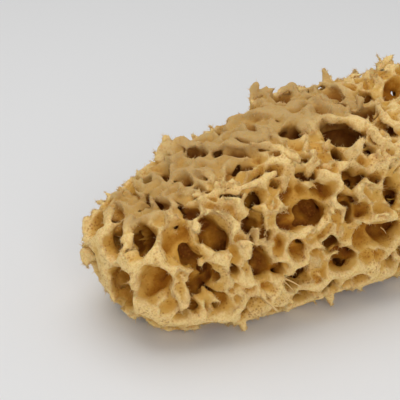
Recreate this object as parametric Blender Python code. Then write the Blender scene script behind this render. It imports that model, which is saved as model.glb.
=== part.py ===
"""Sea sponge, one piece that grew: a rounded block riddled with pores, cut off flat below.

Sizes and places are in millimetres, and MM turns them into metres. +X runs along the
sponge, its pitted front faces -Y, +Z is up, and the origin lies on the flat cut, under the
middle of the whole sponge.
"""

import math
from typing import NamedTuple

import bmesh
import bpy
import numpy as np

MM = 0.001

# Driving dimensions of the body
HALF_LENGTH = 81.0
SPINE_X = -0.5
SPINE_Y = 2.0
END_SQUARENESS = 4.5
RING_SQUARENESS = 2.7
CUT_ABOVE_BELLY = 3.0
END_TUCK = 9.0
TUCK_HEIGHT = 30.0
RIGHT_SHORTER = 10.5
CORE_HEIGHT = 26.0
CORE_SHARE = 0.55
SKIN_SCALE = 35.0

# Fineness of the grown surface, and of the finished solid
SPHERE_SUBDIVISIONS = 7
HALVINGS = 30
SLOPE_STEP = 0.4
FINISHED_TRIANGLES = 9400

# The pores that cover the rest of the body
SEED = 41
CANDIDATES = 12000
PORE_WIDTH = (6.5, 13.0)
SMALL_PORE_BIAS = 1.5
PORE_HEIGHT_SHARE = (0.75, 1.25)
PORE_WALL = (2.4, 5.0)
PORE_DEPTH_SHARE = (0.8, 1.15)
DEEPEST_PORE = 10.0
MOST_PORE_TURN = 45.0

# The flattened top, where pits are long, low and shallow and thorns are short
SKIN_TILT = 0.86
SKIN_END_X = 46.0
SKIN_FRONT_Y = -12.0
SKIN_PIT_STRETCH = 1.25
SKIN_PIT_HEIGHT = 0.45
SKIN_PIT_DEPTH = 3.2
SKIN_PIT_TURN = 0.4

# The section of a pit: steep walls, a nearly flat floor and a shallow flare around its mouth
WALL_STEEPNESS = 3.5
FLARE_DEPTH = 0.24
FLARE_REACH = 2.6
FLARE_START = 0.6

# The points of the skeleton where the walls between pores meet
THORN_HEIGHT = (1.5, 4.2)
THORN_RADIUS = (2.6, 4.4)
THORN_SPACING = 10.0
THORN_CLEARANCE = 0.9
SKIN_THORN_SHARE = 0.35
WORN_END_X = -70.0
WORN_THORN_SHARE = 0.3
THORN_SHARPNESS = 1.3
KNOB_ROUNDNESS = 3
THORN_CORE = 1.6

# How far above the flat cut the pits and thorns reach their full size
CUT_MARGIN = 4.0


class Station(NamedTuple):
    """A ring of the body at x: its half widths, its top and the height of its widest level."""

    x: float
    front: float
    back: float
    top: float
    belly: float


class Lump(NamedTuple):
    """A rounded swelling of the body around a point."""

    x: float
    y: float
    z: float
    rise: float
    radius: float


class Pore(NamedTuple):
    """A round or oval pit: its mouth, across and upwards, how deep it goes, and its turn."""

    x: float
    y: float
    z: float
    width: float
    height: float
    depth: float
    turn: float = 0.0


class Thorn(NamedTuple):
    """A point or a blunt knob of the skeleton that stands out of the surface."""

    x: float
    y: float
    z: float
    rise: float
    radius: float
    bluntness: float = 0.0


STATIONS = (
    Station(-82, 31, 26, 52, 28),
    Station(-60, 34, 31, 55, 27),
    Station(-40, 37, 35, 61, 26),
    Station(-20, 39, 38, 66, 26),
    Station(0, 42, 40, 70, 27),
    Station(25, 45, 41, 72, 28),
    Station(50, 46, 41, 70, 29),
    Station(82, 43, 38, 66, 29),
)

LUMPS = (
    Lump(71, 11, 71, 18, 16),
    Lump(9, 29, 66, 6, 8),
    Lump(20, 27, 66, 4, 7),
    Lump(46, 24, 67, 5, 11),
    Lump(-74, 19, 42, 1, 9),
    Lump(32, 41, 48, 2.5, 15),
    Lump(4, 42, 30, -4, 13),
    Lump(-26, 37, 42, 4, 13),
    Lump(-52, 34, 28, 3, 12),
    Lump(60, 38, 24, 4, 13),
    Lump(78, -24, 46, 3, 15),
    Lump(77, 22, 34, 2, 13),
    Lump(77, -2, 22, -2, 12),
    Lump(56, -16, 69, 4, 12),
    Lump(52, -45, 40, -3, 12),
)

LEFT_END_PORES = (
    Pore(-78, -4, 43, 9, 15, 10),
    Pore(-73, -14, 45, 11, 15, 10),
    Pore(-81, -11, 30, 11, 19, 9),
    Pore(-73, -24, 31, 6, 5, 9),
    Pore(-74, -23, 32, 12, 12, 3.5),
    Pore(-63, -22, 46, 16, 17, 3.2),
    Pore(-62, -27, 40, 7, 8, 10),
    Pore(-58, -30, 30, 9, 13, 7),
    Pore(-61, -29, 20, 5, 4.5, 4),
    Pore(-65, -27, 18, 4, 4, 6),
    Pore(-46, -33, 33, 4.5, 4, 4),
)

FRONT_PORES = (
    Pore(-51, -27, 47, 10, 12, 9),
    Pore(-55, -17, 52, 11, 8, 6),
    Pore(-36, -31, 48, 9.5, 8.5, 9),
    Pore(-37, -33, 43, 5, 4, 9),
    Pore(-30, -34, 44, 4, 4.5, 6),
    Pore(-35, -35, 34, 8, 17, 6),
    Pore(-27, -35, 40, 5, 8, 2.5),
    Pore(-28, -36, 29, 6.5, 6, 3.5),
    Pore(-20, -36, 36, 6, 6, 2.2),
    Pore(-19, -37, 24, 10, 8, 7),
    Pore(-38, -34, 17, 7, 6.5, 3),
    Pore(-40, -31, 11, 5.5, 5.5, 3),
    Pore(-21, -34, 47, 8, 7.5, 4),
    Pore(-16, -29, 57, 10, 10, 4),
    Pore(-10, -35, 49, 8.5, 9, 10),
    Pore(-6, -33, 54, 13, 8, 3),
    Pore(6, -39, 45, 6.5, 6.5, 9),
    Pore(11, -40, 45, 9, 8, 3.5),
    Pore(-4, -39, 33, 7, 6.5, 8),
    Pore(2, -40, 27, 10, 9, 4),
    Pore(11, -41, 33, 16, 10, 3.5),
    Pore(23, -43, 32, 10, 7, 7),
    Pore(5, -37, 51, 9, 5.5, 7),
    Pore(10, -33, 58, 13, 6.5, 7),
    Pore(18, -36, 56, 5.5, 5, 3.5),
    Pore(24, -39, 50, 7, 14, 7),
    Pore(22, -29, 64, 8, 10, 8),
)

SKIN_PORES = (
    Pore(-32, -25, 56, 10, 6.5, 7),
    Pore(-40, -19, 57, 8, 3.5, 4),
    Pore(-19, -21, 62, 7, 4.2, 6),
    Pore(-8, -27, 61, 7, 6, 7),
    Pore(-36, -13, 60, 4, 4, 5),
    Pore(-26, -13, 63, 6, 3.5, 5),
    Pore(-8, -20, 65, 6, 5, 3.5),
    Pore(-31, -10, 62, 4, 9, 4),
    Pore(-35, 12, 60, 13, 7, 5),
    Pore(-50, 11, 56, 9, 4, 4),
    Pore(-62, -2, 52, 14, 5, 5),
    Pore(-30, 3, 63, 7, 3.5, 2.5),
    Pore(-9, 10, 68, 11, 3, 3),
    Pore(0, -5, 70, 10, 9, 7),
    Pore(12, -15, 70, 16, 13, 10),
    Pore(8, -25, 65, 7, 8, 7),
    Pore(38, -8, 70, 16, 7, 7),
    Pore(38, -18, 69, 10, 5.5, 6),
    Pore(61, 2, 72, 6, 12, 7),
)

THORNS = (
    Thorn(-63, 5, 52, 4, 3),
    Thorn(-62, -2, 52.5, 3, 2.5),
    Thorn(-54, -6, 55.5, 3, 3),
    Thorn(-36, 29, 59, 5, 4, 0.7),
    Thorn(-83, 17, 28, 4, 3.5, 0.8),
    Thorn(-19, -26, 58.5, 3.5, 3),
    Thorn(4, -9.5, 70, 4.5, 3),
    Thorn(-6.5, -26.5, 62, 4, 3, 0.5),
    Thorn(5, -17.5, 68.5, 4, 3),
    Thorn(9.5, -18, 68.5, 4, 3),
    Thorn(14, -23, 67, 7, 5, 0.8),
    Thorn(24, -35, 59.5, 4, 3),
    Thorn(26, -37, 57, 4, 3),
    Thorn(20, -33, 61.5, 3.5, 3),
    Thorn(-43, -32, 42.5, 4.5, 3.5),
    Thorn(-36, -33, 46, 4, 3),
    Thorn(-4, -37, 48, 3.5, 3),
    Thorn(0, -35, 5.5, 3.5, 4),
    Thorn(-20.5, -35, 14, 3.5, 3.5),
    Thorn(-52, -26, 4.5, 4, 4),
    Thorn(-39, -28, 5, 3.5, 4),
    Thorn(43.5, 25.5, 71.5, 4.5, 3.5),
    Thorn(53.5, 22.5, 70.5, 4.5, 3.5),
    Thorn(68, 16.5, 74, 4, 3.5),
)


def clear_scene():
    """Removes every object that the scene starts with."""
    for obj in list(bpy.data.objects):
        bpy.data.objects.remove(obj, do_unlink=True)


def ring_at(x):
    """The front and back half widths, top and belly height at each x, straight between stations."""
    xs = [station.x for station in STATIONS]
    return [np.interp(x, xs, [station[k] for station in STATIONS]) for k in range(1, 5)]


def outside(points):
    """A number for each point that is under 0 inside the unpitted body and over 0 outside it.

    The body is a squared round: squared rings at every x, closed off along x by a squarer curve.
    """
    x, y, z = points[..., 0] - SPINE_X, points[..., 1] - SPINE_Y, points[..., 2]
    front, back, top, belly = ring_at(x)
    across = np.where(y < 0, front, back)
    upwards = np.where(z < belly, belly + CUT_ABOVE_BELLY, top - belly)
    ring = np.abs(y / across) ** RING_SQUARENESS + np.abs((z - belly) / upwards) ** RING_SQUARENESS
    ring = ring ** (1 / RING_SQUARENESS)
    low = np.clip((TUCK_HEIGHT - z) / TUCK_HEIGHT, 0, 1)
    along = HALF_LENGTH - np.where(x < 0, END_TUCK * low**2, RIGHT_SHORTER)
    whole = (np.abs(x / along) ** END_SQUARENESS + ring**END_SQUARENESS) ** (1 / END_SQUARENESS)
    value = (whole - 1) * SKIN_SCALE
    for lump in LUMPS:
        away = ((points - np.array(lump[:3])) ** 2).sum(-1)
        value = value - lump.rise * np.exp(-away / lump.radius**2)
    return value


def grown_to_skin(directions):
    """Where rays from the body's core, one along each direction, leave the body; kept above the cut."""
    core = np.zeros_like(directions)
    core[:, 0] = SPINE_X + directions[:, 0] * HALF_LENGTH * CORE_SHARE
    core[:, 1] = SPINE_Y
    core[:, 2] = CORE_HEIGHT
    near = np.zeros(len(directions))
    far = np.full(len(directions), 2 * HALF_LENGTH)
    for _ in range(HALVINGS):
        middle = (near + far) / 2
        inside = outside(core + middle[:, None] * directions) < 0
        near = np.where(inside, middle, near)
        far = np.where(inside, far, middle)
    points = core + near[:, None] * directions
    points[:, 2] = np.maximum(points[:, 2], 0)
    return points


def skin_normals(points):
    """The outward unit normal of the unpitted body at each point."""
    steps = np.eye(3) * SLOPE_STEP
    slope = np.stack([outside(points + step) - outside(points - step) for step in steps], axis=-1)
    return slope / np.linalg.norm(slope, axis=-1, keepdims=True)


def spiral_directions(count):
    """Unit vectors spread evenly over a sphere along a golden spiral."""
    index = np.arange(count) + 0.5
    height = 1 - 2 * index / count
    angle = index * math.pi * (3 - math.sqrt(5))
    flat = np.sqrt(1 - height**2)
    return np.stack([flat * np.cos(angle), flat * np.sin(angle), height], axis=-1)


def on_smooth_skin(point, normal):
    """Whether a place is on the flattened top, where the pits are long and shallow."""
    return normal[2] > SKIN_TILT and point[0] < SKIN_END_X and point[1] > SKIN_FRONT_Y


def between(limits, share):
    """The value that lies this share of the way between two limits."""
    return limits[0] + share * (limits[1] - limits[0])


def grown_pores(placed, spots, normals, rng):
    """The placed pores and the ones that fill the rest, each kept a wall's width from the others."""
    pores = list(placed)
    centres = [np.array(pore[:3]) for pore in placed]
    radii = [(pore.width + pore.height) / 4 for pore in placed]
    for k in rng.permutation(len(spots)):
        size, wall, deepness, stretch, turn = rng.uniform(0, 1, 5)
        if spots[k, 2] < CUT_MARGIN:
            continue
        width = between(PORE_WIDTH, size**SMALL_PORE_BIAS)
        height = width * between(PORE_HEIGHT_SHARE, stretch)
        depth = min(width * between(PORE_DEPTH_SHARE, deepness), DEEPEST_PORE)
        turn = between((-MOST_PORE_TURN, MOST_PORE_TURN), turn)
        if on_smooth_skin(spots[k], normals[k]):
            width, height = width * SKIN_PIT_STRETCH, width * SKIN_PIT_HEIGHT
            depth = SKIN_PIT_DEPTH
            turn = turn * SKIN_PIT_TURN
        radius = (width + height) / 4
        gaps = np.linalg.norm(np.array(centres) - spots[k], axis=1) - np.array(radii) - radius
        if gaps.min() < between(PORE_WALL, wall):
            continue
        pores.append(Pore(*spots[k], width, height, depth, turn))
        centres.append(spots[k])
        radii.append(radius)
    return pores


def grown_thorns(placed, pores, spots, normals, rng):
    """The placed thorns and those at the widest joints of the walls between the pores."""
    thorns = list(placed)
    centres = np.array([pore[:3] for pore in pores])
    radii = np.array([(pore.width + pore.height) / 4 for pore in pores])
    gaps = np.linalg.norm(spots[:, None] - centres[None], axis=2) - radii
    clearance = gaps.min(axis=1)
    taken = [np.array(thorn[:3]) for thorn in placed]
    for k in np.argsort(-clearance):
        height = rng.uniform(*THORN_HEIGHT)
        radius = rng.uniform(*THORN_RADIUS)
        room = THORN_SPACING * rng.uniform(0.6, 1.4)
        if clearance[k] < THORN_CLEARANCE or spots[k, 2] < CUT_MARGIN:
            continue
        if on_smooth_skin(spots[k], normals[k]):
            height = height * SKIN_THORN_SHARE
        if spots[k, 0] < WORN_END_X:
            height = height * WORN_THORN_SHARE
        if np.linalg.norm(np.array(taken) - spots[k], axis=1).min() < room:
            continue
        thorns.append(Thorn(*spots[k], height, radius))
        taken.append(spots[k])
    return thorns


def frame_of(normal):
    """Two directions in the skin at a point: one level, and one up the slope."""
    level = np.cross([0, 0, 1], normal)
    level = level / max(np.linalg.norm(level), 1e-6)
    return level, np.cross(normal, level)


def pit_depths(points, pores):
    """How far each point of the skin is pressed in: a flat-bottomed pit with a flared, shallow rim."""
    depths = np.zeros(len(points))
    for pore in pores:
        centre = np.array(pore[:3])
        normal = skin_normals(centre[None])[0]
        level, upward = frame_of(normal)
        away = points - centre
        reach = max(pore.width, pore.height) / 2 + 2 * FLARE_REACH
        near = np.nonzero((away**2).sum(1) < reach**2)[0]
        turn = math.radians(pore.turn)
        across = away[near] @ (level * math.cos(turn) + upward * math.sin(turn))
        upwards = away[near] @ (upward * math.cos(turn) - level * math.sin(turn))
        share = np.sqrt((across / pore.width * 2) ** 2 + (upwards / pore.height * 2) ** 2)
        pit = pore.depth * np.sqrt(np.clip(1 - share**WALL_STEEPNESS, 0, 1))
        size = (pore.width + pore.height) / 2
        rim = 1 + 2 * FLARE_REACH / size
        flare = min(pore.depth, FLARE_DEPTH * size)
        flare = flare * np.clip((rim - share) / (rim - FLARE_START), 0, 1)
        depths[near] = np.maximum(depths[near], np.maximum(pit, flare))
    return depths


def raised_thorns(points, thorns):
    """How far each point is drawn out by the thorns, and how much of the pits it escapes."""
    rises = np.zeros(len(points))
    spared = np.zeros(len(points))
    for thorn in thorns:
        away = np.linalg.norm(points - np.array(thorn[:3]), axis=1)
        near = np.nonzero(away < thorn.radius)[0]
        share = 1 - away[near] / thorn.radius
        sharp = share**THORN_SHARPNESS
        blunt = np.sqrt(np.clip(1 - (1 - share) ** KNOB_ROUNDNESS, 0, 1))
        shape = sharp + (blunt - sharp) * thorn.bluntness
        rises[near] = np.maximum(rises[near], thorn.rise * shape)
        spared[near] = np.maximum(spared[near], np.clip(THORN_CORE * share, 0, 1))
    return rises, spared


def sponge_material():
    """Dry horny skeleton: a light golden tan, quite rough."""
    material = bpy.data.materials.new("dry_sponge")
    material.use_nodes = True
    shader = material.node_tree.nodes["Principled BSDF"]
    shader.inputs["Base Color"].default_value = (0.48, 0.28, 0.09, 1.0)
    shader.inputs["Roughness"].default_value = 0.85
    shader.inputs["Metallic"].default_value = 0.0
    return material


def build_sponge():
    """Grows a fine sphere out to the body, presses in the pores, draws out the thorns, thins it."""
    shape = bmesh.new()
    bmesh.ops.create_icosphere(shape, subdivisions=SPHERE_SUBDIVISIONS, radius=1.0)
    directions = np.array([vert.co[:] for vert in shape.verts], float)
    directions = directions / np.linalg.norm(directions, axis=1, keepdims=True)
    skin = grown_to_skin(directions)
    outward = skin_normals(skin)

    rng = np.random.default_rng(SEED)
    spots = grown_to_skin(spiral_directions(CANDIDATES))
    spot_normals = skin_normals(spots)
    pores = grown_pores(LEFT_END_PORES + FRONT_PORES + SKIN_PORES, spots, spot_normals, rng)
    thorns = grown_thorns(THORNS, pores, spots, spot_normals, rng)

    rises, spared = raised_thorns(skin, thorns)
    depths = pit_depths(skin, pores) * (1 - spared)
    above_cut = np.clip(skin[:, 2] / CUT_MARGIN, 0, 1)
    points = skin + outward * ((rises - depths) * above_cut)[:, None]
    points[:, 2] = np.maximum(points[:, 2], 0)
    for vert, point in zip(shape.verts, points * MM):
        vert.co = point

    mesh = bpy.data.meshes.new("sponge")
    shape.to_mesh(mesh)
    shape.free()
    sponge = bpy.data.objects.new("sponge", mesh)
    bpy.context.scene.collection.objects.link(sponge)
    mesh.materials.append(sponge_material())
    thin = sponge.modifiers.new("thinned", "DECIMATE")
    thin.ratio = FINISHED_TRIANGLES / len(mesh.polygons)
    return sponge


clear_scene()
build_sponge()
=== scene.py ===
"""Sea sponge: a dry, open-pored bath sponge resting on the flat cut of its base.

Sizes and places are in millimetres in the sponge's own frame, and MM turns them into metres.
+X runs along the sponge, its deeply pored front faces -Y, and +Z is up.
"""

import logging
import math
from dataclasses import dataclass, field
from enum import Enum
from typing import Optional, Sequence

import bpy
import numpy as np
from mathutils import Matrix, Vector


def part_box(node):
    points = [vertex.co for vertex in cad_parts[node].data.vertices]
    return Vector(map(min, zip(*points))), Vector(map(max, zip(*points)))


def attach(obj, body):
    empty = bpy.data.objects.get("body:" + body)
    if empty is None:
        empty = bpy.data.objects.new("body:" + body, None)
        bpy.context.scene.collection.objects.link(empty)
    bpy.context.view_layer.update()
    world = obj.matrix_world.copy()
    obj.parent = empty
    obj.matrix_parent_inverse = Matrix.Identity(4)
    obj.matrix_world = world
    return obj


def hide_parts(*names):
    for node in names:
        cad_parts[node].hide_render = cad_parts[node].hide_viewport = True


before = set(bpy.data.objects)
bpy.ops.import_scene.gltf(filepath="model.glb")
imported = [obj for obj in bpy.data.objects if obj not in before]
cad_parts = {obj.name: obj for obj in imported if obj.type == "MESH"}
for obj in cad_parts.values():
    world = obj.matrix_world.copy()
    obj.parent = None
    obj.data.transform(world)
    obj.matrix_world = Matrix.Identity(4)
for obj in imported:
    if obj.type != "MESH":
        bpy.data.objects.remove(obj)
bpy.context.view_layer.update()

LOG = logging.getLogger("sea_sponge")
MM = 0.001
TINY = 1e-6
FRONT_LEFT = np.array((-0.485, -0.747, 0.454))  # unit vector out of the photographed corner


@dataclass(frozen=True)
class Station:
    """A ring of the body at x: half widths, top, and the height of its widest level."""

    x: float
    front: float
    back: float
    top: float
    belly: float


@dataclass(frozen=True)
class Lump:
    """A rounded swelling of the body around a point, or a dent where its rise is under 0."""

    x: float
    y: float
    z: float
    rise: float
    radius: float


@dataclass(frozen=True)
class Pore:
    """A pit: its mouth across and upwards, its depth, its turn, and how its axis lies.

    lean tips the axis under the upper rim, in degrees, and faced is the share of the way that it
    turns from the skin's normal towards FRONT_LEFT.
    """

    x: float
    y: float
    z: float
    width: float
    height: float
    depth: float
    turn: float = 0.0
    lean: float = 0.0
    faced: float = 0.0

    @property
    def size(self) -> float:
        """Mean width of the mouth."""
        return (self.width + self.height) / 2

    @property
    def place(self) -> np.ndarray:
        """Middle of the mouth."""
        return np.array((self.x, self.y, self.z))


@dataclass(frozen=True)
class Thorn:
    """A point or a blunt knob of the skeleton that stands out of the surface."""

    x: float
    y: float
    z: float
    rise: float
    radius: float
    bluntness: float = 0.0

    @property
    def place(self) -> np.ndarray:
        """Middle of the foot."""
        return np.array((self.x, self.y, self.z))


STATIONS = (
    Station(-82, 31, 26, 52, 28),
    Station(-60, 34, 31, 55, 27),
    Station(-40, 37, 35, 61, 26),
    Station(-20, 39, 38, 66, 26),
    Station(0, 42, 40, 70, 27),
    Station(25, 45, 41, 72, 28),
    Station(50, 46, 41, 70, 29),
    Station(82, 43, 38, 66, 29),
)

LUMPS = (
    Lump(71, 11, 71, 18, 16),
    Lump(9, 29, 66, 6, 8),
    Lump(20, 27, 66, 4, 7),
    Lump(46, 24, 67, 5, 11),
    Lump(-74, 19, 42, 1, 9),
    Lump(32, 41, 48, 2.5, 15),
    Lump(4, 42, 30, -4, 13),
    Lump(-26, 37, 42, 4, 13),
    Lump(-52, 34, 28, 3, 12),
    Lump(60, 38, 24, 4, 13),
    Lump(78, -24, 46, 3, 15),
    Lump(77, 22, 34, 2, 13),
    Lump(77, -2, 22, -2, 12),
    Lump(56, -16, 69, 4, 12),
    Lump(52, -45, 40, -3, 12),
    Lump(60, 20, 74, -2.5, 7),
    Lump(2.5, 31, 66, -4, 5),
    Lump(17, 27.5, 69, -3.5, 3),
)

LEFT_END_PORES = (
    Pore(-78.8, -3, 43, 8.5, 13, 10, faced=0.5),
    Pore(-73.4, -12.8, 46, 11.5, 14.5, 10, faced=0.4),
    Pore(-81.3, -10, 26, 11, 17, 9, faced=0.5),
    Pore(-73, -24, 31, 6, 5, 6),
    Pore(-74, -23, 32, 13, 13, 4.5),
    Pore(-64.4, -21.8, 46, 13, 16, 3.2),
    Pore(-62.4, -27.2, 40, 7.5, 8, 8),
    Pore(-58, -30, 30, 10, 15, 7),
    Pore(-61, -29, 20, 5, 4.5, 4),
    Pore(-65, -27, 18, 4, 4, 6),
    Pore(-46, -33, 33, 4.5, 4, 4),
)

FRONT_PORES = (
    Pore(-50.5, -27.4, 47, 10, 12.5, 8),
    Pore(-55, -16.5, 52.3, 9.5, 7, 4.5),
    Pore(-36, -31, 48, 11.5, 9.5, 9),
    Pore(-37, -33, 43, 5, 4, 9),
    Pore(-30, -34, 44, 4, 4.5, 6),
    Pore(-35, -35, 34, 10, 18, 6),
    Pore(-27, -35, 40, 5, 8, 2.5),
    Pore(-28, -36, 29, 6.5, 6, 3.5),
    Pore(-20, -36, 36, 6, 6, 2.2),
    Pore(-19, -37, 24, 11, 9, 7),
    Pore(-38, -34, 17, 9, 8, 3.5),
    Pore(-40, -31, 11, 5.5, 5.5, 3),
    Pore(-21, -34, 47, 10, 9, 4.5),
    Pore(-16, -29, 57, 11, 11, 4),
    Pore(-10, -35, 49, 10.5, 11, 10),
    Pore(-6, -33, 54, 13, 8, 3),
    Pore(6, -39, 45, 8, 8, 9),
    Pore(11, -40, 45, 9, 8, 3.5),
    Pore(-4, -39, 33, 9, 8.5, 8),
    Pore(2, -40, 27, 12, 11, 4.5),
    Pore(11, -41, 33, 16, 10, 3.5),
    Pore(23, -43, 32, 12, 9, 7),
    Pore(5, -37, 51, 9, 5.5, 7),
    Pore(10, -33, 58, 13, 6.5, 7),
    Pore(18, -36, 56, 5.5, 5, 3.5),
    Pore(24, -39, 50, 9, 16, 7),
    Pore(22, -29, 64, 8, 10, 8),
)

SKIN_PORES = (
    Pore(-32, -25, 56, 10, 6.5, 7, lean=25),
    Pore(-40, -19, 57, 8, 3.5, 4, lean=25),
    Pore(-19, -21, 62, 7, 4.2, 6, lean=25),
    Pore(-8, -27, 61, 7, 6, 7),
    Pore(-36, -13, 60, 4, 4, 5),
    Pore(-26, -13, 63, 6, 3.5, 5),
    Pore(-8, -20, 65, 6, 5, 3.5),
    Pore(-31, -10, 62, 4, 9, 4),
    Pore(-35, 12, 60, 13, 7, 5),
    Pore(-50, 11, 56, 9, 4, 4),
    Pore(-62, -2, 52, 14, 5, 5, lean=30),
    Pore(-30, 3, 63, 7, 3.5, 2.5),
    Pore(-9, 10, 68, 11, 3, 3),
    Pore(-0.8, -6.5, 69.7, 12, 8, 9, faced=0.4),
    Pore(15.5, -19.5, 68.4, 21, 13, 15, faced=0.7),
    Pore(8, -25, 65, 7, 8, 7),
    Pore(38, -8, 70, 17, 9, 8, faced=0.4),
    Pore(38, -18, 69, 10, 5.5, 6),
    Pore(59, 0, 73, 7, 11, 4),
)

THORNS = (
    Thorn(-63, 5, 52, 4, 3),
    Thorn(-62, -2, 52.5, 3, 2.5),
    Thorn(-54, -6, 55.5, 3, 3),
    Thorn(-19, -26, 58.5, 3.5, 3),
    Thorn(4, -9.5, 70, 4.5, 3),
    Thorn(-6.5, -26.5, 62, 4, 3, 0.5),
    Thorn(6.3, -20.2, 67.6, 4, 3.5),
    Thorn(12.5, -28.5, 63.5, 6.5, 5, 0.7),
    Thorn(24, -35, 59.5, 4, 3),
    Thorn(26, -37, 57, 4, 3),
    Thorn(20, -33, 61.5, 3.5, 3),
    Thorn(-43, -32, 42.5, 4.5, 3.5),
    Thorn(-36, -33, 46, 4, 3),
    Thorn(-4, -37, 48, 3.5, 3),
    Thorn(0, -35, 5.5, 2.5, 4.5, 0.5),
    Thorn(-20.5, -35, 14, 3.5, 3.5),
    Thorn(-52, -26, 4.5, 2.5, 4.5, 0.5),
    Thorn(-39, -28, 5, 2.5, 4.5, 0.5),
    Thorn(43.5, 25.5, 71.5, 2.5, 4, 0.3),
    Thorn(53.5, 22.5, 70.5, 2.5, 4, 0.3),
    Thorn(68, 16.5, 74, 4, 3.5),
)


@dataclass(frozen=True)
class Ridge:
    """A rounded rib of the skeleton: the places that its line passes, and its radius."""

    line: tuple[tuple[float, float, float], ...]
    radius: float
    blend: float = 1.2


RIDGES = (
    Ridge(((7, 29.5, 64), (7.4, 29.4, 71.8), (13.5, 27, 72.2), (14, 26.5, 66)), 1.6, 0.6),
    Ridge(((19.5, 27, 66), (20, 26.8, 71.4), (23.5, 25.5, 71.2), (24, 24, 67)), 1.6, 0.6),
    Ridge(((-79, 14, 28.3), (-83.8, 17.4, 28.3)), 2.3, 0.6),
    Ridge(((-36, 28, 58), (-36.8, 29.6, 60.4)), 1.7, 0.7),
    Ridge(((-74.8, -4.5, 49.5), (-77.2, -7.6, 44.8), (-78.7, -12, 40), (-79, -13, 36.5)), 1.6, 1),
    Ridge(((-14.5, 20.5, 63.5), (-11.5, 22, 66.6), (-7.5, 20.5, 68), (-4, 15.5, 69)), 1.0, 0.8),
    Ridge(((-4, 15, 68.6), (4.4, 12.8, 70.1), (12.4, 10.5, 71.1), (18.7, 8.6, 71.9)), 2.0, 2.6),
    Ridge(
        ((-1.3, 12.7, 69.6), (3, 6.2, 70.5), (4.9, 2, 71), (6.6, -4.4, 71.3), (4.5, -11.6, 70.2)),
        1.5, 2.4,
    ),
    Ridge(
        ((8, -1.5, 71), (12, -7.5, 71.8), (17, -11.5, 72), (23, -15.5, 71.2), (27, -21, 69)),
        1.5, 2.2,
    ),
    Ridge(((-20, 6, 65.4), (-15, 2.6, 66.6), (-11, -2, 67.2)), 2.6, 2.5),
    Ridge(
        ((-29.5, 6.5, 64), (-24.3, 0.8, 65.6), (-20, -5.4, 66.6), (-14.7, -10.6, 67.2)),
        1.6, 1.6,
    ),
    Ridge(((-14.7, -10.6, 67.2), (-11.7, -16.4, 66.8), (-8.4, -20.3, 66)), 1.4, 1.4),
    Ridge(
        ((-50, -12.9, 57), (-44.1, -16.9, 58.2), (-36.7, -20.8, 59.2), (-30, -23, 60.2),
         (-23.2, -24.5, 61)),
        1.3, 1.8,
    ),
    Ridge(((-47.7, 4.9, 58.4), (-43.8, 1, 60), (-41.8, -6.6, 60.2)), 1.8, 1.8),
    Ridge(
        ((-44.4, 22.5, 56.5), (-38.6, 22.6, 58.7), (-33.5, 19.3, 61.2), (-28.2, 17.8, 63)),
        1.7, 1.6,
    ),
    Ridge(((-37.3, 3.8, 61.6), (-35.5, -2, 62.5)), 2.0, 1.8),
    Ridge(((42.1, -9, 71.5), (39.1, -16.8, 70.4), (41.4, -21.1, 69)), 1.4, 1.8),
    Ridge(((25.8, -23.7, 69), (27.2, -30.3, 65), (31.5, -32.8, 62.5)), 1.5, 1.2),
    Ridge(((22.2, 5.8, 72.6), (22.6, 5.4, 74.2)), 1.6, 1.0),
    Ridge(((36.9, -3.7, 70.6), (37.4, -4, 72.6)), 1.7, 1.0),
)


def between(limits: Sequence[float], share: float | np.ndarray) -> float | np.ndarray:
    """The value, or values, this share of the way between two limits."""
    return limits[0] + share * (limits[1] - limits[0])


def rising(values: np.ndarray, start: float, width: float) -> np.ndarray:
    """0 up to start, 1 from start + width on, and a straight line between them."""
    return np.clip((values - start) / width, 0, 1)


def sooner(first: np.ndarray, second: np.ndarray, blend: float) -> np.ndarray:
    """Smooth minimum: the lower of two fields, with their corner rounded over blend."""
    overlap = np.clip(blend - np.abs(first - second), 0, None)
    return np.minimum(first, second) - overlap * overlap / (4 * blend)


def later(first: np.ndarray, second: np.ndarray, blend: float) -> np.ndarray:
    """Smooth maximum: the higher of two fields, with their corner rounded over blend."""
    return -sooner(-first, -second, blend)


def reach_along(away: Sequence[np.ndarray], way: np.ndarray) -> np.ndarray:
    """How far offsets reach along a direction: the sum of the products of their coordinates."""
    return away[0] * way[0] + away[1] * way[1] + away[2] * way[2]


def spiral_directions(count: int) -> np.ndarray:
    """Unit vectors spread evenly over a sphere along a golden spiral.

    Args:
        count: how many.

    Returns:
        The vectors, one a row.
    """
    index = np.arange(count) + 0.5
    height = 1 - 2 * index / count
    angle = index * math.pi * (3 - math.sqrt(5))
    flat = np.sqrt(1 - height**2)
    return np.stack([flat * np.cos(angle), flat * np.sin(angle), height], axis=-1)


def frame_of(normal: np.ndarray) -> tuple[np.ndarray, np.ndarray]:
    """Two directions in the skin at a point: one level, and one up the slope.

    Args:
        normal: the outward unit normal there.

    Returns:
        The level direction, and the one up the slope.
    """
    level = np.cross([0, 0, 1], normal)
    level = level / max(float(np.linalg.norm(level)), TINY)
    return level, np.cross(normal, level)


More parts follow.
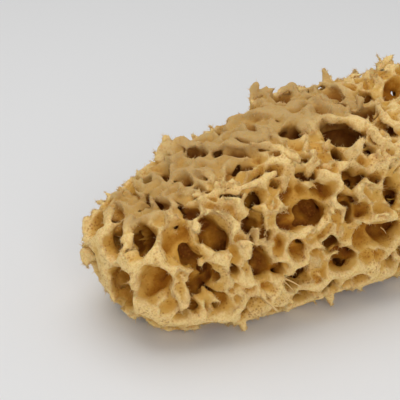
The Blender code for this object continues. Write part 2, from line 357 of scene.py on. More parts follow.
@dataclass
class Body:
    """The unpitted body: squared rings at every x, closed along x, with lumps and dents."""

    half_length: float = 81.0
    spine: tuple[float, float] = (-0.5, 2.0)
    end_squareness: float = 4.5
    ring_squareness: float = 2.7
    cut_above_belly: float = 3.0
    end_tuck: float = 9.0
    tuck_height: float = 30.0
    right_shorter: float = 10.5
    core_height: float = 26.0
    core_share: float = 0.55
    skin_scale: float = 35.0
    halvings: int = 30
    slope_step: float = 0.4

    def outside(self, x: np.ndarray, y: np.ndarray, z: np.ndarray) -> np.ndarray:
        """A field that is under 0 inside the unpitted body and over 0 outside it.

        Each ring is |y / half width|^n + |z / half height|^n = 1, and |x / half length|^m joins it
        to the two ends. Every lump then takes a bell curve of its distance away from the value.

        Args:
            x, y, z: coordinates that broadcast against each other.

        Returns:
            The field, of their common shape.
        """
        across_x = x - self.spine[0]
        xs = [station.x for station in STATIONS]
        front, back, top, belly = (
            np.interp(across_x, xs, [getattr(station, name) for station in STATIONS])
            for name in ("front", "back", "top", "belly")
        )
        across_y = y - self.spine[1]
        sideways = np.abs(across_y / np.where(across_y < 0, front, back)) ** self.ring_squareness
        upwards = np.where(z < belly, belly + self.cut_above_belly, top - belly)
        ring = sideways + np.abs((z - belly) / upwards) ** self.ring_squareness
        low = np.clip((self.tuck_height - z) / self.tuck_height, 0, 1)
        shorter = np.where(across_x < 0, self.end_tuck * low**2, self.right_shorter)
        ends = np.abs(across_x / (self.half_length - shorter)) ** self.end_squareness
        whole = ends + ring ** (self.end_squareness / self.ring_squareness)
        value = (whole ** (1 / self.end_squareness) - 1) * self.skin_scale
        for lump in LUMPS:
            away = (x - lump.x) ** 2 + (y - lump.y) ** 2 + (z - lump.z) ** 2
            value = value - lump.rise * np.exp(-away / lump.radius**2)
        return value

    def at(self, points: np.ndarray) -> np.ndarray:
        """The same field at rows of points."""
        return self.outside(points[..., 0], points[..., 1], points[..., 2])

    def grown_to_skin(self, directions: np.ndarray) -> np.ndarray:
        """Where rays from the core leave the body, found by halving, and kept above the cut.

        Args:
            directions: unit vectors, one a row.

        Returns:
            Points on the skin, one a row.
        """
        core = np.zeros_like(directions)
        core[:, 0] = self.spine[0] + directions[:, 0] * self.half_length * self.core_share
        core[:, 1] = self.spine[1]
        core[:, 2] = self.core_height
        near = np.zeros(len(directions))
        far = np.full(len(directions), 2 * self.half_length)
        for _ in range(self.halvings):
            middle = (near + far) / 2
            inside = self.at(core + middle[:, None] * directions) < 0
            near = np.where(inside, middle, near)
            far = np.where(inside, far, middle)
        points = core + near[:, None] * directions
        points[:, 2] = np.maximum(points[:, 2], 0)
        return points

    def normals(self, points: np.ndarray) -> np.ndarray:
        """The outward unit normal of the unpitted body at each point.

        Args:
            points: places, one a row.

        Returns:
            The normals, one a row.
        """
        steps = np.eye(3) * self.slope_step
        rises = [self.at(points + step) - self.at(points - step) for step in steps]
        slope = np.stack(rises, axis=-1)
        return slope / np.linalg.norm(slope, axis=-1, keepdims=True)


@dataclass
class Growth:
    """The pores and thorns: those listed, and those that fill the rest of the body.

    Fields that start with skin are for the flattened top, where pits are long and shallow, and
    those that start with worn are for the left end.
    """

    body: Body
    seed: int = 41
    candidates: int = 12000
    pore_width: tuple[float, float] = (6.5, 13.0)
    small_pore_bias: float = 1.5
    pore_height_share: tuple[float, float] = (0.75, 1.25)
    pore_wall: tuple[float, float] = (2.4, 5.0)
    pore_depth_share: tuple[float, float] = (0.8, 1.15)
    deepest_pore: float = 10.0
    most_pore_turn: float = 45.0
    skin_tilt: float = 0.86
    skin_end_x: float = 46.0
    skin_front_y: float = -12.0
    skin_pit_stretch: float = 1.25
    skin_pit_height: float = 0.45
    skin_pit_depth: float = 3.2
    skin_pit_turn: float = 0.4
    thorn_height: tuple[float, float] = (1.5, 4.2)
    thorn_radius: tuple[float, float] = (2.6, 4.4)
    thorn_spacing: tuple[float, float] = (6.0, 14.0)
    thorn_clearance: float = 0.9
    skin_thorn_share: float = 0.35
    worn_end_x: float = -70.0
    worn_thorn_share: float = 0.3
    cut_margin: float = 4.0
    pores: list[Pore] = field(init=False)
    thorns: list[Thorn] = field(init=False)

    def __post_init__(self) -> None:
        """Grows both lists over evenly spread spots of the skin."""
        rng = np.random.default_rng(self.seed)
        self.spots = self.body.grown_to_skin(spiral_directions(self.candidates))
        self.spot_normals = self.body.normals(self.spots)
        self.pores = self._grow_pores(rng)
        self.thorns = self._grow_thorns(rng)

    def on_smooth_skin(self, point: np.ndarray, normal: np.ndarray) -> bool:
        """Whether a place is on the flattened top, where the pits are long and shallow."""
        level = normal[2] > self.skin_tilt
        return bool(level and point[0] < self.skin_end_x and point[1] > self.skin_front_y)

    def _grow_pores(self, rng: np.random.Generator) -> list[Pore]:
        """Places pores at random spots that keep a wall's width from every earlier pore.

        Args:
            rng: source of its random draws.

        Returns:
            The listed pores, and then those grown.
        """
        pores = list(LEFT_END_PORES + FRONT_PORES + SKIN_PORES)
        centres = [pore.place for pore in pores]
        radii = [pore.size / 2 for pore in pores]
        for k in rng.permutation(len(self.spots)):
            size, wall, deepness, stretch, turn = rng.uniform(0, 1, 5)
            spot = self.spots[k]
            if spot[2] < self.cut_margin:
                continue
            width = between(self.pore_width, size**self.small_pore_bias)
            height = width * between(self.pore_height_share, stretch)
            depth = min(width * between(self.pore_depth_share, deepness), self.deepest_pore)
            turn = between((-self.most_pore_turn, self.most_pore_turn), turn)
            if self.on_smooth_skin(spot, self.spot_normals[k]):
                width, height = width * self.skin_pit_stretch, width * self.skin_pit_height
                depth = self.skin_pit_depth
                turn = turn * self.skin_pit_turn
            radius = (width + height) / 4
            gaps = np.linalg.norm(np.array(centres) - spot, axis=1) - np.array(radii) - radius
            if gaps.min() < between(self.pore_wall, wall):
                continue
            pores.append(Pore(*spot, width, height, depth, turn))
            centres.append(spot)
            radii.append(radius)
        return pores

    def _grow_thorns(self, rng: np.random.Generator) -> list[Thorn]:
        """Adds a thorn at the widest joints of the walls between the pores, widest first.

        Args:
            rng: source of its random draws.

        Returns:
            The listed thorns, and then those grown.
        """
        centres = np.array([pore.place for pore in self.pores])
        radii = np.array([pore.size / 2 for pore in self.pores])
        gaps = np.linalg.norm(self.spots[:, None] - centres[None], axis=2) - radii
        clearance = gaps.min(axis=1)
        thorns = list(THORNS)
        taken = [thorn.place for thorn in THORNS]
        for k in np.argsort(-clearance):
            height = rng.uniform(*self.thorn_height)
            radius = rng.uniform(*self.thorn_radius)
            room = rng.uniform(*self.thorn_spacing)
            spot = self.spots[k]
            if clearance[k] < self.thorn_clearance or spot[2] < self.cut_margin:
                continue
            if self.on_smooth_skin(spot, self.spot_normals[k]):
                height = height * self.skin_thorn_share
            if spot[0] < self.worn_end_x:
                height = height * self.worn_thorn_share
            if np.linalg.norm(np.array(taken) - spot, axis=1).min() < room:
                continue
            thorns.append(Thorn(*spot, height, radius))
            taken.append(spot)
        return thorns


@dataclass
class Grid:
    """A block of evenly spaced points over the sponge, and fields worked out on it."""

    low: np.ndarray
    high: np.ndarray
    step: float
    noise_gain: float = 3.0
    edge: float = 0.001

    def __post_init__(self) -> None:
        """Lays out the three axes."""
        counts = np.ceil((self.high - self.low) / self.step).astype(int) + 1
        self.axes = [
            (start + self.step * np.arange(count)).astype(np.float32)
            for start, count in zip(self.low, counts)
        ]
        self.shape = tuple(int(count) for count in counts)

    def open_axes(self, block: Optional[tuple[slice, ...]] = None) -> list[np.ndarray]:
        """The axes of a block of the grid, shaped so that they broadcast against each other.

        Args:
            block: the block, or None for the whole grid.

        Returns:
            The three axes.
        """
        parts = self.axes
        if block is not None:
            parts = [axis[part] for axis, part in zip(self.axes, block)]
        shapes = np.where(np.eye(3, dtype=bool), -1, 1)
        return [part.reshape(shape) for part, shape in zip(parts, shapes)]

    def is_thin(self, block: tuple[slice, ...]) -> bool:
        """Whether a block is less than two points wide, so that it lies past the grid."""
        return min(part.stop - part.start for part in block) < 2

    def block_around(self, place: np.ndarray, reach: float) -> tuple[slice, ...]:
        """The slices of the grid that hold a cube of half width reach around a place.

        Args:
            place: middle of the cube.
            reach: its half width.

        Returns:
            One slice an axis.
        """
        first = np.floor((place - reach - self.low) / self.step).astype(int)
        last = np.ceil((place + reach - self.low) / self.step).astype(int) + 1
        return tuple(
            slice(max(0, a), max(0, min(size, b))) for a, b, size in zip(first, last, self.shape)
        )

    def noise(self, wavelength: float, rng: np.random.Generator) -> np.ndarray:
        """Smooth noise of about unit spread: random values on a coarse lattice, spread by cubic
        B-spline weights along each axis in turn.

        Args:
            wavelength: spacing of the lattice.
            rng: source of the lattice's values.

        Returns:
            The noise at every grid point.
        """
        weights = []
        for axis in self.axes:
            turns = (axis - axis[0]) / wavelength
            whole = np.floor(turns).astype(int)
            part = turns - whole
            spline = np.zeros((len(axis), int(whole[-1]) + 4), np.float32)
            rows = np.arange(len(axis))
            spline[rows, whole] = (1 - part) ** 3 / 6
            spline[rows, whole + 1] = (3 * part**3 - 6 * part**2 + 4) / 6
            spline[rows, whole + 2] = (-3 * part**3 + 3 * part**2 + 3 * part + 1) / 6
            spline[rows, whole + 3] = part**3 / 6
            weights.append(spline)
        lattice = rng.standard_normal([spline.shape[1] for spline in weights]).astype(np.float32)
        for spline in weights:
            lattice = np.tensordot(lattice, spline, axes=(0, 1))
        return lattice * self.noise_gain

    def blurred(self, values: np.ndarray, reach: float) -> np.ndarray:
        """Running mean over a window of half width reach along each axis in turn.

        Args:
            values: the field.
            reach: half width of the window.

        Returns:
            The smoothed field.
        """
        radius = max(1, round(reach / self.step))
        for axis in range(3):
            padding = [(radius + 1, radius) if k == axis else (0, 0) for k in range(3)]
            sums = np.cumsum(np.pad(values, padding, mode="edge"), axis=axis, dtype=np.float32)
            size = values.shape[axis]
            ahead = np.take(sums, np.arange(2 * radius + 1, 2 * radius + 1 + size), axis=axis)
            behind = np.take(sums, np.arange(size), axis=axis)
            values = (ahead - behind) / (2 * radius + 1)
        return values

    def sampled(self, values: np.ndarray, points: np.ndarray) -> np.ndarray:
        """The field's value at points, read between the eight grid points around each.

        Args:
            values: the field.
            points: places, one a row.

        Returns:
            One value a point.
        """
        place = (points - self.low) / self.step
        place = np.clip(place, 0, np.array(self.shape) - 1 - self.edge)
        whole = place.astype(int)
        part = place - whole
        total = np.zeros(len(points))
        for corner in np.ndindex(2, 2, 2):
            weight = np.prod(np.where(corner, part, 1 - part), axis=1)
            i, j, k = (whole + corner).T
            total += weight * values[i, j, k]
        return total

    def surface(self, values: np.ndarray) -> tuple[np.ndarray, np.ndarray]:
        """The surface where the field is 0, as points and four-sided faces that point outwards.

        Every cell that the surface crosses gets one point, the mean of the places where its twelve
        edges cross it. Every grid edge that crosses it gets one face, of the four cells around it.

        Args:
            values: the field, under 0 inside.

        Returns:
            Points, one a row, and the faces' four point numbers.
        """
        inside = values < 0
        count = np.zeros(tuple(size - 1 for size in self.shape), np.int8)
        for corner in np.ndindex(2, 2, 2):
            count += inside[tuple(slice(c, c + size) for c, size in zip(corner, count.shape))]
        cells = np.argwhere((count > 0) & (count < 8))
        number = np.full(count.shape, -1, np.int32)
        number[tuple(cells.T)] = np.arange(len(cells))
        total = np.zeros((len(cells), 3), np.float32)
        crossings = np.zeros(len(cells), np.float32)
        for axis in range(3):
            others = [k for k in range(3) if k != axis]
            for a, b in np.ndindex(2, 2):
                start = np.zeros(3, int)
                start[others] = a, b
                stop = start.copy()
                stop[axis] = 1
                first = values[tuple((cells + start).T)]
                second = values[tuple((cells + stop).T)]
                crossed = (first < 0) != (second < 0)
                share = np.where(crossed, first / np.where(crossed, first - second, 1), 0)
                place = np.repeat(start[None].astype(np.float32), len(cells), axis=0)
                place[:, axis] = share
                total += place * crossed[:, None]
                crossings += crossed
        points = self.low + (cells + total / crossings[:, None]) * self.step
        faces = []
        for axis in range(3):
            u, v = (axis + 1) % 3, (axis + 2) % 3
            near = [slice(1, size - 1) for size in self.shape]
            far = list(near)
            near[axis] = slice(0, self.shape[axis] - 1)
            far[axis] = slice(1, self.shape[axis])
            first, second = inside[tuple(near)], inside[tuple(far)]
            edges = np.argwhere(first != second)
            leaving = first[tuple(edges.T)]
            edges[:, u] += 1
            edges[:, v] += 1
            ring = []
            for du, dv in ((1, 1), (0, 1), (0, 0), (1, 0)):
                cell = edges.copy()
                cell[:, u] -= du
                cell[:, v] -= dv
                ring.append(number[tuple(cell.T)])
            quads = np.stack(ring, axis=1)
            quads[~leaving] = quads[~leaving][:, ::-1]
            faces.append(quads)
        return points, np.concatenate(faces)


def largest_piece(points: np.ndarray, faces: np.ndarray) -> tuple[np.ndarray, np.ndarray]:
    """The largest connected part of a mesh, which leaves out loose crumbs and sealed bubbles.

    Each point takes the lowest number among its neighbours, and each number then follows the
    number that it points to, until nothing changes.

    Args:
        points: the mesh's points, one a row.
        faces: the faces' point numbers.

    Returns:
        The points and faces of the largest part.
    """
    label = np.arange(len(points))
    while True:
        lowest = label[faces].min(axis=1)
        fresh = label.copy()
        for corner in range(faces.shape[1]):
            np.minimum.at(fresh, faces[:, corner], lowest)
        fresh = fresh[fresh]
        if np.array_equal(fresh, label):
            break
        label = fresh
    kept = label == np.bincount(label).argmax()
    number = np.cumsum(kept) - 1
    return points[kept], number[faces[kept[faces[:, 0]]]]


def mesh_of(name: str, points: np.ndarray, faces: np.ndarray) -> bpy.types.Mesh:
    """A smooth-shaded mesh, in metres, from points in millimetres and faces of one size.

    Args:
        name: the mesh's name.
        points: places in millimetres, one a row.
        faces: the faces' point numbers, all with the same number of corners.

    Returns:
        The new mesh.
    """
    mesh = bpy.data.meshes.new(name)
    corners = faces.shape[1]
    mesh.vertices.add(len(points))
    mesh.vertices.foreach_set("co", (points * MM).astype(np.float32).ravel())
    mesh.loops.add(faces.size)
    mesh.loops.foreach_set("vertex_index", faces.astype(np.int32).ravel())
    mesh.polygons.add(len(faces))
    mesh.polygons.foreach_set("loop_start", np.arange(0, faces.size, corners, dtype=np.int32))
    mesh.update(calc_edges=True)
    mesh.shade_smooth()
    return mesh


def linked(name: str, data: bpy.types.ID) -> bpy.types.Object:
    """An object that shows this mesh, light or camera, in the scene and at the origin.

    Args:
        name: the object's name.
        data: what it shows.

    Returns:
        The object.
    """
    piece = bpy.data.objects.new(name, data)
    bpy.context.scene.collection.objects.link(piece)
    return piece


def write_layers(mesh: bpy.types.Mesh, layers: dict[str, np.ndarray]) -> None:
    """Keeps one number for each point of the mesh under each layer's name.

    Args:
        mesh: the mesh.
        layers: for each name, one number a point.
    """
    for name, values in layers.items():
        attribute = mesh.attributes.new(name, "FLOAT", "POINT")
        attribute.data.foreach_set("value", values.astype(np.float32))


def read_layer(mesh: bpy.types.Mesh, name: str) -> np.ndarray:
    """The numbers kept under a layer's name, one a point.

    Args:
        mesh: the mesh.
        name: the layer's name.

    Returns:
        The numbers.
    """
    values = np.empty(len(mesh.vertices), np.float32)
    mesh.attributes[name].data.foreach_get("value", values)
    return values.astype(float)


def places_of(mesh: bpy.types.Mesh) -> np.ndarray:
    """The mesh's points in millimetres, one a row.

    Args:
        mesh: the mesh.

    Returns:
        Its points.
    """
    flat = np.empty(len(mesh.vertices) * 3, np.float32)
    mesh.vertices.foreach_get("co", flat)
    return flat.reshape(-1, 3).astype(float) / MM


@dataclass(frozen=True)
class PointShape:
    """The form that thorns and spikes share: a flattened cone whose line bends.

    A knob is the blunt form of it, and spare is how far past its radius the grid is changed, as a
    share of the radius and a length.
    """

    drift: float = 0.1
    flatness: float = 1.35
    knob_flatness: float = 1.05
    tip: float = 0.22
    knob_tip: float = 0.85
    taper: float = 1.25
    blend: float = 1.1
    spare: tuple[float, float] = (1.5, 2.5)


@dataclass(frozen=True)
class Marking:
    """How the skeleton's points are marked for its colour, which paints shade into the hollows.

    Depth is a length, walls and crests are told by the share of solid around a point, and each
    pair is where a mark starts and how wide it rises.
    """

    skin_depth: float = 1.5
    field_slope: float = 0.7
    deep: float = 10.0
    depth_weight: float = 0.62
    near_reach: float = 1.4
    wide_reach: float = 3.6
    walled_in: tuple[float, float] = (0.37, 0.4)
    walled_weight: float = 0.5
    crest: tuple[float, float] = (0.46, 0.2)
    level: tuple[float, float] = (0.8, 0.12)
    inland: tuple[float, float] = (-16.0, 10.0)
    skin_end: tuple[float, float] = (50.0, 12.0)


@dataclass
class Skeleton:
    """The sponge's horny skeleton, as one closed surface around a field on a grid.

    A skin that folds back over its own pores can't be a function of two parameters, so the field
    starts as the distance from the unpitted body. The walls between the pits are drawn up. Pits,
    dishes, ribs, thorns, tunnels, bites, spikes and pinholes are then joined to it or cut out of
    it one at a time, each as a whole array over its own block of the grid.
    """

    growth: Growth
    grid: Grid
    point: PointShape = PointShape()
    marking: Marking = Marking()
    seed: int = 7
    triangles: int = 190000

    # Waves in the body, as wavelength and height, and how forms find its skin.
    warp: tuple[tuple[float, float], ...] = ((9.0, 0.8), (4.5, 0.7), (2.2, 0.38))
    swell: tuple[float, float] = (13.0, 0.55)
    grain: tuple[float, float] = (1.9, 0.2)
    least_slope: float = 0.2
    seat_rounds: int = 5
    cut_margin: float = 3.0
    outer_wall: float = 0.1

    # Pits: their mouths, walls and floors, and the amber on their walls, which is painted shade
    # and painted glow.
    mouth: float = 0.97
    flare: float = 0.4
    skin_flare: float = 0.3
    flare_fade: float = 2.0
    flare_lip: float = 2.0
    least_wall: float = 0.4
    deepened: float = 1.25
    floor_drop: float = 1.0
    wall_closing: float = 0.3
    rim_roundness: float = 0.35
    pit_spare: float = 4.0
    amber_depth: float = 8.0
    amber_rim: tuple[float, float] = (1.35, 0.3)
    amber_start: float = 0.5
    amber_rise: float = 0.6

    # Walls between the pits, drawn up like tents, but less on the top and low down.
    tent_slope: float = 1.9
    tent_level: float = 0.95
    tent_reach: float = 2.3
    skin_tent: float = 0.55
    skin_depth: float = 12.0
    skin_fade: float = 4.0
    border_fade: float = 8.0
    low_tent: float = 0.4

    # Dishes scooped out of the wider walls, and the left end, which has none.
    dish_radius: tuple[float, float] = (1.8, 5.0)
    dish_hollow: tuple[float, float] = (0.55, 1.0)
    dish_wall: tuple[float, float] = (0.2, 1.0)
    dish_oval: tuple[float, float] = (0.8, 1.25)
    dish_shuffle: float = 2.0
    dish_spare: float = 2.5
    skin_dish: float = 0.55
    low_dish: float = 2.4
    low_dishes: float = 22.0
    end_wall: float = -75.0
    end_reach: float = 16.0

    # Ribs and thorns.
    rib_spare: float = 2.0
    thorn_width: float = 0.55
    thorn_tilt: float = 0.3
    thorn_root: float = 2.2
    placed_rise: float = 1.3
    low_thorns: float = 14.0
    least_thorn: float = 0.1

    # Tunnels under the skin.
    tunnels: int = 1500
    tunnel_radius: tuple[float, float] = (1.2, 3.1)
    tunnel_bias: float = 1.5
    tunnel_depth: tuple[float, float] = (2.5, 12.0)
    tunnel_roof: float = 1.0
    tunnel_blend: float = 0.5
    shallow: float = 5.0

    # Notches in the lower edge.
    bites: int = 110
    bite_radius: tuple[float, float] = (1.8, 4.2)
    bite_sink: tuple[float, float] = (-0.2, 0.8)
    bite_height: tuple[float, float] = (-1.0, 2.5)
    bite_spots: tuple[float, float] = (0.01, 4.0)
    bite_blend: float = 0.4

    # Spikes on the sharpest crests.
    spikes: int = 450
    spike_height: tuple[float, float] = (0.8, 2.4)
    spike_radius: tuple[float, float] = (0.5, 0.95)
    spike_tilt: float = 0.4
    spike_root: float = 0.8
    spike_reach: float = 1.8
    spike_crests: float = 0.12
    skin_spike: float = 0.4

    # Pinholes, and how far past the edge of any ball the grid is changed.
    pinholes: int = 500
    pinhole_radius: tuple[float, float] = (0.7, 1.2)
    pinhole_blend: float = 0.35
    ball_spare: float = 1.5

    def field_of_body(self, rng: np.random.Generator) -> np.ndarray:
        """Distance from the unpitted body: its field over its slope's length, with slow waves.

        Args:
            rng: source of its random draws.

        Returns:
            The field, under 0 inside.
        """
        body = self.growth.body
        field_values = body.outside(*self.grid.open_axes()).astype(np.float32)
        slopes = np.gradient(field_values, self.grid.step)
        length = np.sqrt(sum(slope * slope for slope in slopes))
        field_values = field_values / np.maximum(length, self.least_slope)
        return field_values + self.swell[1] * self.grid.noise(self.swell[0], rng)

    def seat(self, forms: Sequence[Pore | Thorn]) -> None:
        """Moves each form's middle along the body's normal until it lies on the unpitted skin.

        Args:
            forms: pits, dishes or thorns, whose places and normals are kept in seats.
        """
        body = self.growth.body
        places = np.array([form.place for form in forms])
        for _ in range(self.seat_rounds):
            normals = body.normals(places)
            ahead = body.at(places + normals * body.slope_step)
            behind = body.at(places - normals * body.slope_step)
            slopes = np.maximum((ahead - behind) / (2 * body.slope_step), self.least_slope)
            places = places - normals * (body.at(places) / slopes)[:, None]
        for form, place, normal in zip(forms, places, body.normals(places)):
            self.seats[form] = (place, normal)

    def around_pore(
        self, pore: Pore, beyond: float
    ) -> tuple[tuple[slice, ...], np.ndarray, np.ndarray]:
        """The block of the grid around a pit or dish, and how the pit measures it.

        Args:
            pore: the pit.
            beyond: how far past the flared mouth the block reaches.

        Returns:
            The block, the distance from the pit's axis over the oval's half width, and the depth
            below its mouth.
        """
        mouth, normal = self.seats[pore]
        normal = normal * (1 - pore.faced) + FRONT_LEFT * pore.faced
        normal = normal / np.linalg.norm(normal)
        level, upward = frame_of(normal)
        lean = math.radians(pore.lean)
        axis = normal * math.cos(lean) - upward * math.sin(lean)
        upward = upward * math.cos(lean) + normal * math.sin(lean)
        turn = math.radians(pore.turn)
        first = level * math.cos(turn) + upward * math.sin(turn)
        second = upward * math.cos(turn) - level * math.sin(turn)
        reach = max(pore.width, pore.height) / 2 + beyond
        middle = mouth - axis * pore.depth / 2
        reach = max(reach, pore.depth * self.deepened / 2 + self.pit_spare)
        block = self.grid.block_around(middle, reach)
        away = self.away_from(block, mouth)
        across, along = reach_along(away, first), reach_along(away, second)
        share = np.sqrt((across * 2 / pore.width) ** 2 + (along * 2 / pore.height) ** 2)
        return block, share, -reach_along(away, axis)

    def keep_clear(self, clear: np.ndarray, pores: Sequence[Pore]) -> None:
        """Lowers a field of distances to the nearest rim, where a pit of the list is nearer.

        Args:
            clear: the field, changed in place; it starts at tent_reach all over.
            pores: pits or dishes.
        """
        for pore in pores:
            block, share, _ = self.around_pore(pore, self.tent_reach)
            gap = (share - 1) * (pore.width + pore.height) / 4
            clear[block] = np.minimum(clear[block], np.maximum(gap, 0))

    def cut_pore(self, values: np.ndarray, pore: Pore) -> None:
        """Cuts one pit: a tube of oval section that flares towards its mouth and has a floor.

        With s the distance from the axis over the oval's half width, the tube is s less the sum
        of mouth and flare * exp(-inward / fade), and it meets the floor with a rounded corner. The
        field sunk, which paints shade and an amber glow onto a pit's walls, rises from its mouth
        downwards.

        Args:
            values: the field, changed in place.
            pore: the pit.
        """
        smooth = self.growth.on_smooth_skin(*self.seats[pore])
        depth = pore.depth * (1.0 if smooth else self.deepened) + self.floor_drop
        block, share, inward = self.around_pore(pore, self.pit_spare)
        flare = self.skin_flare if smooth else self.spread[pore]
        lip = np.clip(inward, -self.flare_lip, None)
        opening = self.mouth + flare * np.exp(-lip / self.flare_fade)
        half = min(pore.width, pore.height) / 2
        pit = later((share - opening) * half, inward - depth, half * self.wall_closing * 2)
        # painted shade and glow: the pit's walls are marked darker and more amber from the mouth
        # down
        within = rising(self.amber_rim[0] - share, 0, self.amber_rim[1])
        within = within * rising(inward, -self.amber_start, self.amber_rise * depth)
        deepness = min(pore.depth / self.amber_depth, 1.0)
        self.sunk[block] = np.maximum(self.sunk[block], within * deepness)
        values[block] = later(values[block], -pit, self.rim_roundness)

    def away_from(self, block: tuple[slice, ...], centre: np.ndarray) -> list[np.ndarray]:
        """Each coordinate's distance from a centre over a block, bent by the noise around it.

        Args:
            block: the block.
            centre: the place measured from.

        Returns:
            One array an axis.
        """
        nearest = np.round((centre - self.grid.low) / self.grid.step).astype(int)
        nearest = tuple(np.clip(nearest, 0, np.array(self.grid.shape) - 1))
        axes = self.grid.open_axes(block)
        return [
            axis + shift[block] - (place + shift[nearest])
            for axis, shift, place in zip(axes, self.shifts, centre)
        ]

    def add_point(self, values: np.ndarray, foot: np.ndarray, way: np.ndarray,
                  rise: float, radius: float, blunt: float, rng: np.random.Generator) -> None:
        """Joins on a flattened cone whose line bends, with a sharp point or a round end.

        Its radius falls from foot to tip as (1 - share)^taper, and its line drifts sideways by
        drift * share^2.

        Args:
            values: the field, changed in place.
            foot: the middle of its foot, a little under the surface.
            way: the unit vector that it stands along.
            rise: its length.
            radius: its radius at the foot.
            blunt: 0 for a sharp point, 1 for a round knob.
            rng: source of its bend and of the way it is flattened.
        """
        form = self.point
        reach = rise / 2 + radius * form.spare[0] + form.spare[1]
        block = self.grid.block_around(foot + way * rise / 2, reach)
        flat = np.cross(way, rng.normal(0, 1, 3))
        flat = flat / max(float(np.linalg.norm(flat)), TINY)
        thin = np.cross(way, flat)
        drift = rng.normal(0, form.drift, 2) * rise * (1 - blunt)
        if self.grid.is_thin(block):
            return
        away = self.away_from(block, foot)
        along = reach_along(away, way)
        share = np.clip(along / rise, 0, 1)
        wide = reach_along(away, flat) - drift[0] * share**2
        narrow = reach_along(away, thin) - drift[1] * share**2
        past = along - share * rise
        spread = between((form.flatness, form.knob_flatness), blunt)
        distance = np.sqrt((wide / spread) ** 2 + (narrow * spread) ** 2 + past**2)
        tip = form.tip + blunt * (radius * form.knob_tip - form.tip)
        thickness = tip + (radius - tip) * (1 - share) ** form.taper
        values[block] = sooner(values[block], distance - thickness, form.blend)

    def carved(self) -> np.ndarray:
        """The whole field, with every form joined on or cut out, and the flat cut below.

        Returns:
            The field, under 0 inside.
        """
        rng = np.random.default_rng(self.seed)
        grid, growth = self.grid, self.growth
        values = self.field_of_body(rng)
        self.shifts = [
            sum(reach * grid.noise(wavelength, rng) for wavelength, reach in self.warp)
            for _ in range(3)
        ]
        clear = np.full(grid.shape, self.tent_reach, np.float32)
        self.sunk = np.zeros(grid.shape, np.float32)
        self.seats: dict[Pore | Thorn, tuple[np.ndarray, np.ndarray]] = {}
        self.seat(growth.pores)
        self.seat(growth.thorns)
        self.spread = self._flares()
        self.keep_clear(clear, growth.pores)
        dishes = self._scooped(clear, rng)
        self.seat(dishes)
        self.keep_clear(clear, dishes)
        values -= self.tent_slope * self.roughness_of_skin() * (clear - self.tent_level)
        for pore in growth.pores:
            self.cut_pore(values, pore)
        for dish in dishes:
            self.cut_dish(values, dish)
        self._join_ridges(values)
        self._join_thorns(values, rng)
        self._cut_tunnels(values, rng)
        self._cut_bites(values, rng)
        self._grow_spikes(values, rng)
        self._cut_pinholes(values, rng)
        values += self.grain[1] * grid.noise(self.grain[0], rng)
        values = np.maximum(values, -grid.open_axes()[2])
        for axis in range(3):
            ends = np.moveaxis(values, axis, 0)
            ends[[0, -1]] = np.maximum(ends[[0, -1]], self.outer_wall)
        return values

    def _join_thorns(self, values: np.ndarray, rng: np.random.Generator) -> None:
        """Joins on every thorn, with grown ones lower near the cut and none on the left end.

        Args:
            values: the field, changed in place.
            rng: source of its random draws.
        """
        for thorn in self.growth.thorns:
            place, normal = self.seats[thorn]
            way = normal + rng.uniform(-self.thorn_tilt, self.thorn_tilt, 3)
            rise, radius = thorn.rise, thorn.radius * self.thorn_width
            if thorn in THORNS:
                way, rise = normal, rise * self.placed_rise
            elif self.on_end_wall(place):
                continue
            else:
                rise = rise * self.low_share(thorn.z)
            way = way / np.linalg.norm(way)
            foot = place - normal * self.thorn_root
            rise = rise + self.thorn_root
            self.add_point(values, foot, way, rise, radius, thorn.bluntness, rng)

    def on_end_wall(self, place: np.ndarray) -> bool:
        """Whether a place is on the left end, where only what is listed stands."""
        return bool(place[0] < self.end_wall and place[1] < self.end_reach)

    def low_share(self, height: float) -> float:
        """The share of its full rise that a thorn or spike keeps at this height over the cut."""
        return min(max(height / self.low_thorns, self.least_thorn), 1.0)

    def _flares(self) -> dict[Pore, float]:
        """How far each pit's mouth flares: less where a neighbour is close, so a wall is left.

        Returns:
            For each pit, its flare as a share of its half width.
        """
        pores = self.growth.pores
        places = np.array([self.seats[pore][0] for pore in pores])
        radii = np.array([pore.size / 2 for pore in pores])
        gaps = np.linalg.norm(places[:, None] - places[None], axis=2) - radii - radii[:, None]
        np.fill_diagonal(gaps, np.inf)
        room = np.clip((gaps.min(axis=1) / 2 - self.least_wall) / radii, 0, 1)
        return {
            pore: float(min(self.flare, space)) for pore, space in zip(pores, room)
        }

    def _join_ridges(self, values: np.ndarray) -> None:
        """Joins on every rib: the distance from its line, less its radius, over each stretch.

        Args:
            values: the field, changed in place.
        """
        for ridge in RIDGES:
            places = [np.array(place, float) for place in ridge.line]
            for start, stop in zip(places[:-1], places[1:]):
                span = stop - start
                length = float(np.linalg.norm(span))
                reach = length / 2 + ridge.radius + ridge.blend + self.rib_spare
                block = self.grid.block_around((start + stop) / 2, reach)
                away = self.away_from(block, start)
                along = np.clip(reach_along(away, span) / length**2, 0, 1)
                offsets = [part - share * along for part, share in zip(away, span)]
                distance = np.sqrt(reach_along(offsets, offsets))
                values[block] = sooner(values[block], distance - ridge.radius, ridge.blend)

    def roughness_of_skin(self) -> np.ndarray:
        """1 over most of the body, less on the flattened top, and less again low down.

        Returns:
            The share of its full height that a wall is drawn up to.
        """
        x, y, z = self.grid.open_axes()
        growth = self.growth
        top = np.interp(x, [ring.x for ring in STATIONS], [ring.top for ring in STATIONS])
        high = rising(z - top, -self.skin_depth, self.skin_fade)
        inland = rising(y - growth.skin_front_y, -self.skin_fade, self.border_fade)
        short = rising(growth.skin_end_x - x, -self.skin_fade, self.border_fade)
        lower = np.clip(z / self.low_thorns, self.low_tent, 1)
        smooth = (1 - self.skin_tent) * high * inland * short
        return (lower * (1 - smooth)).astype(np.float32)

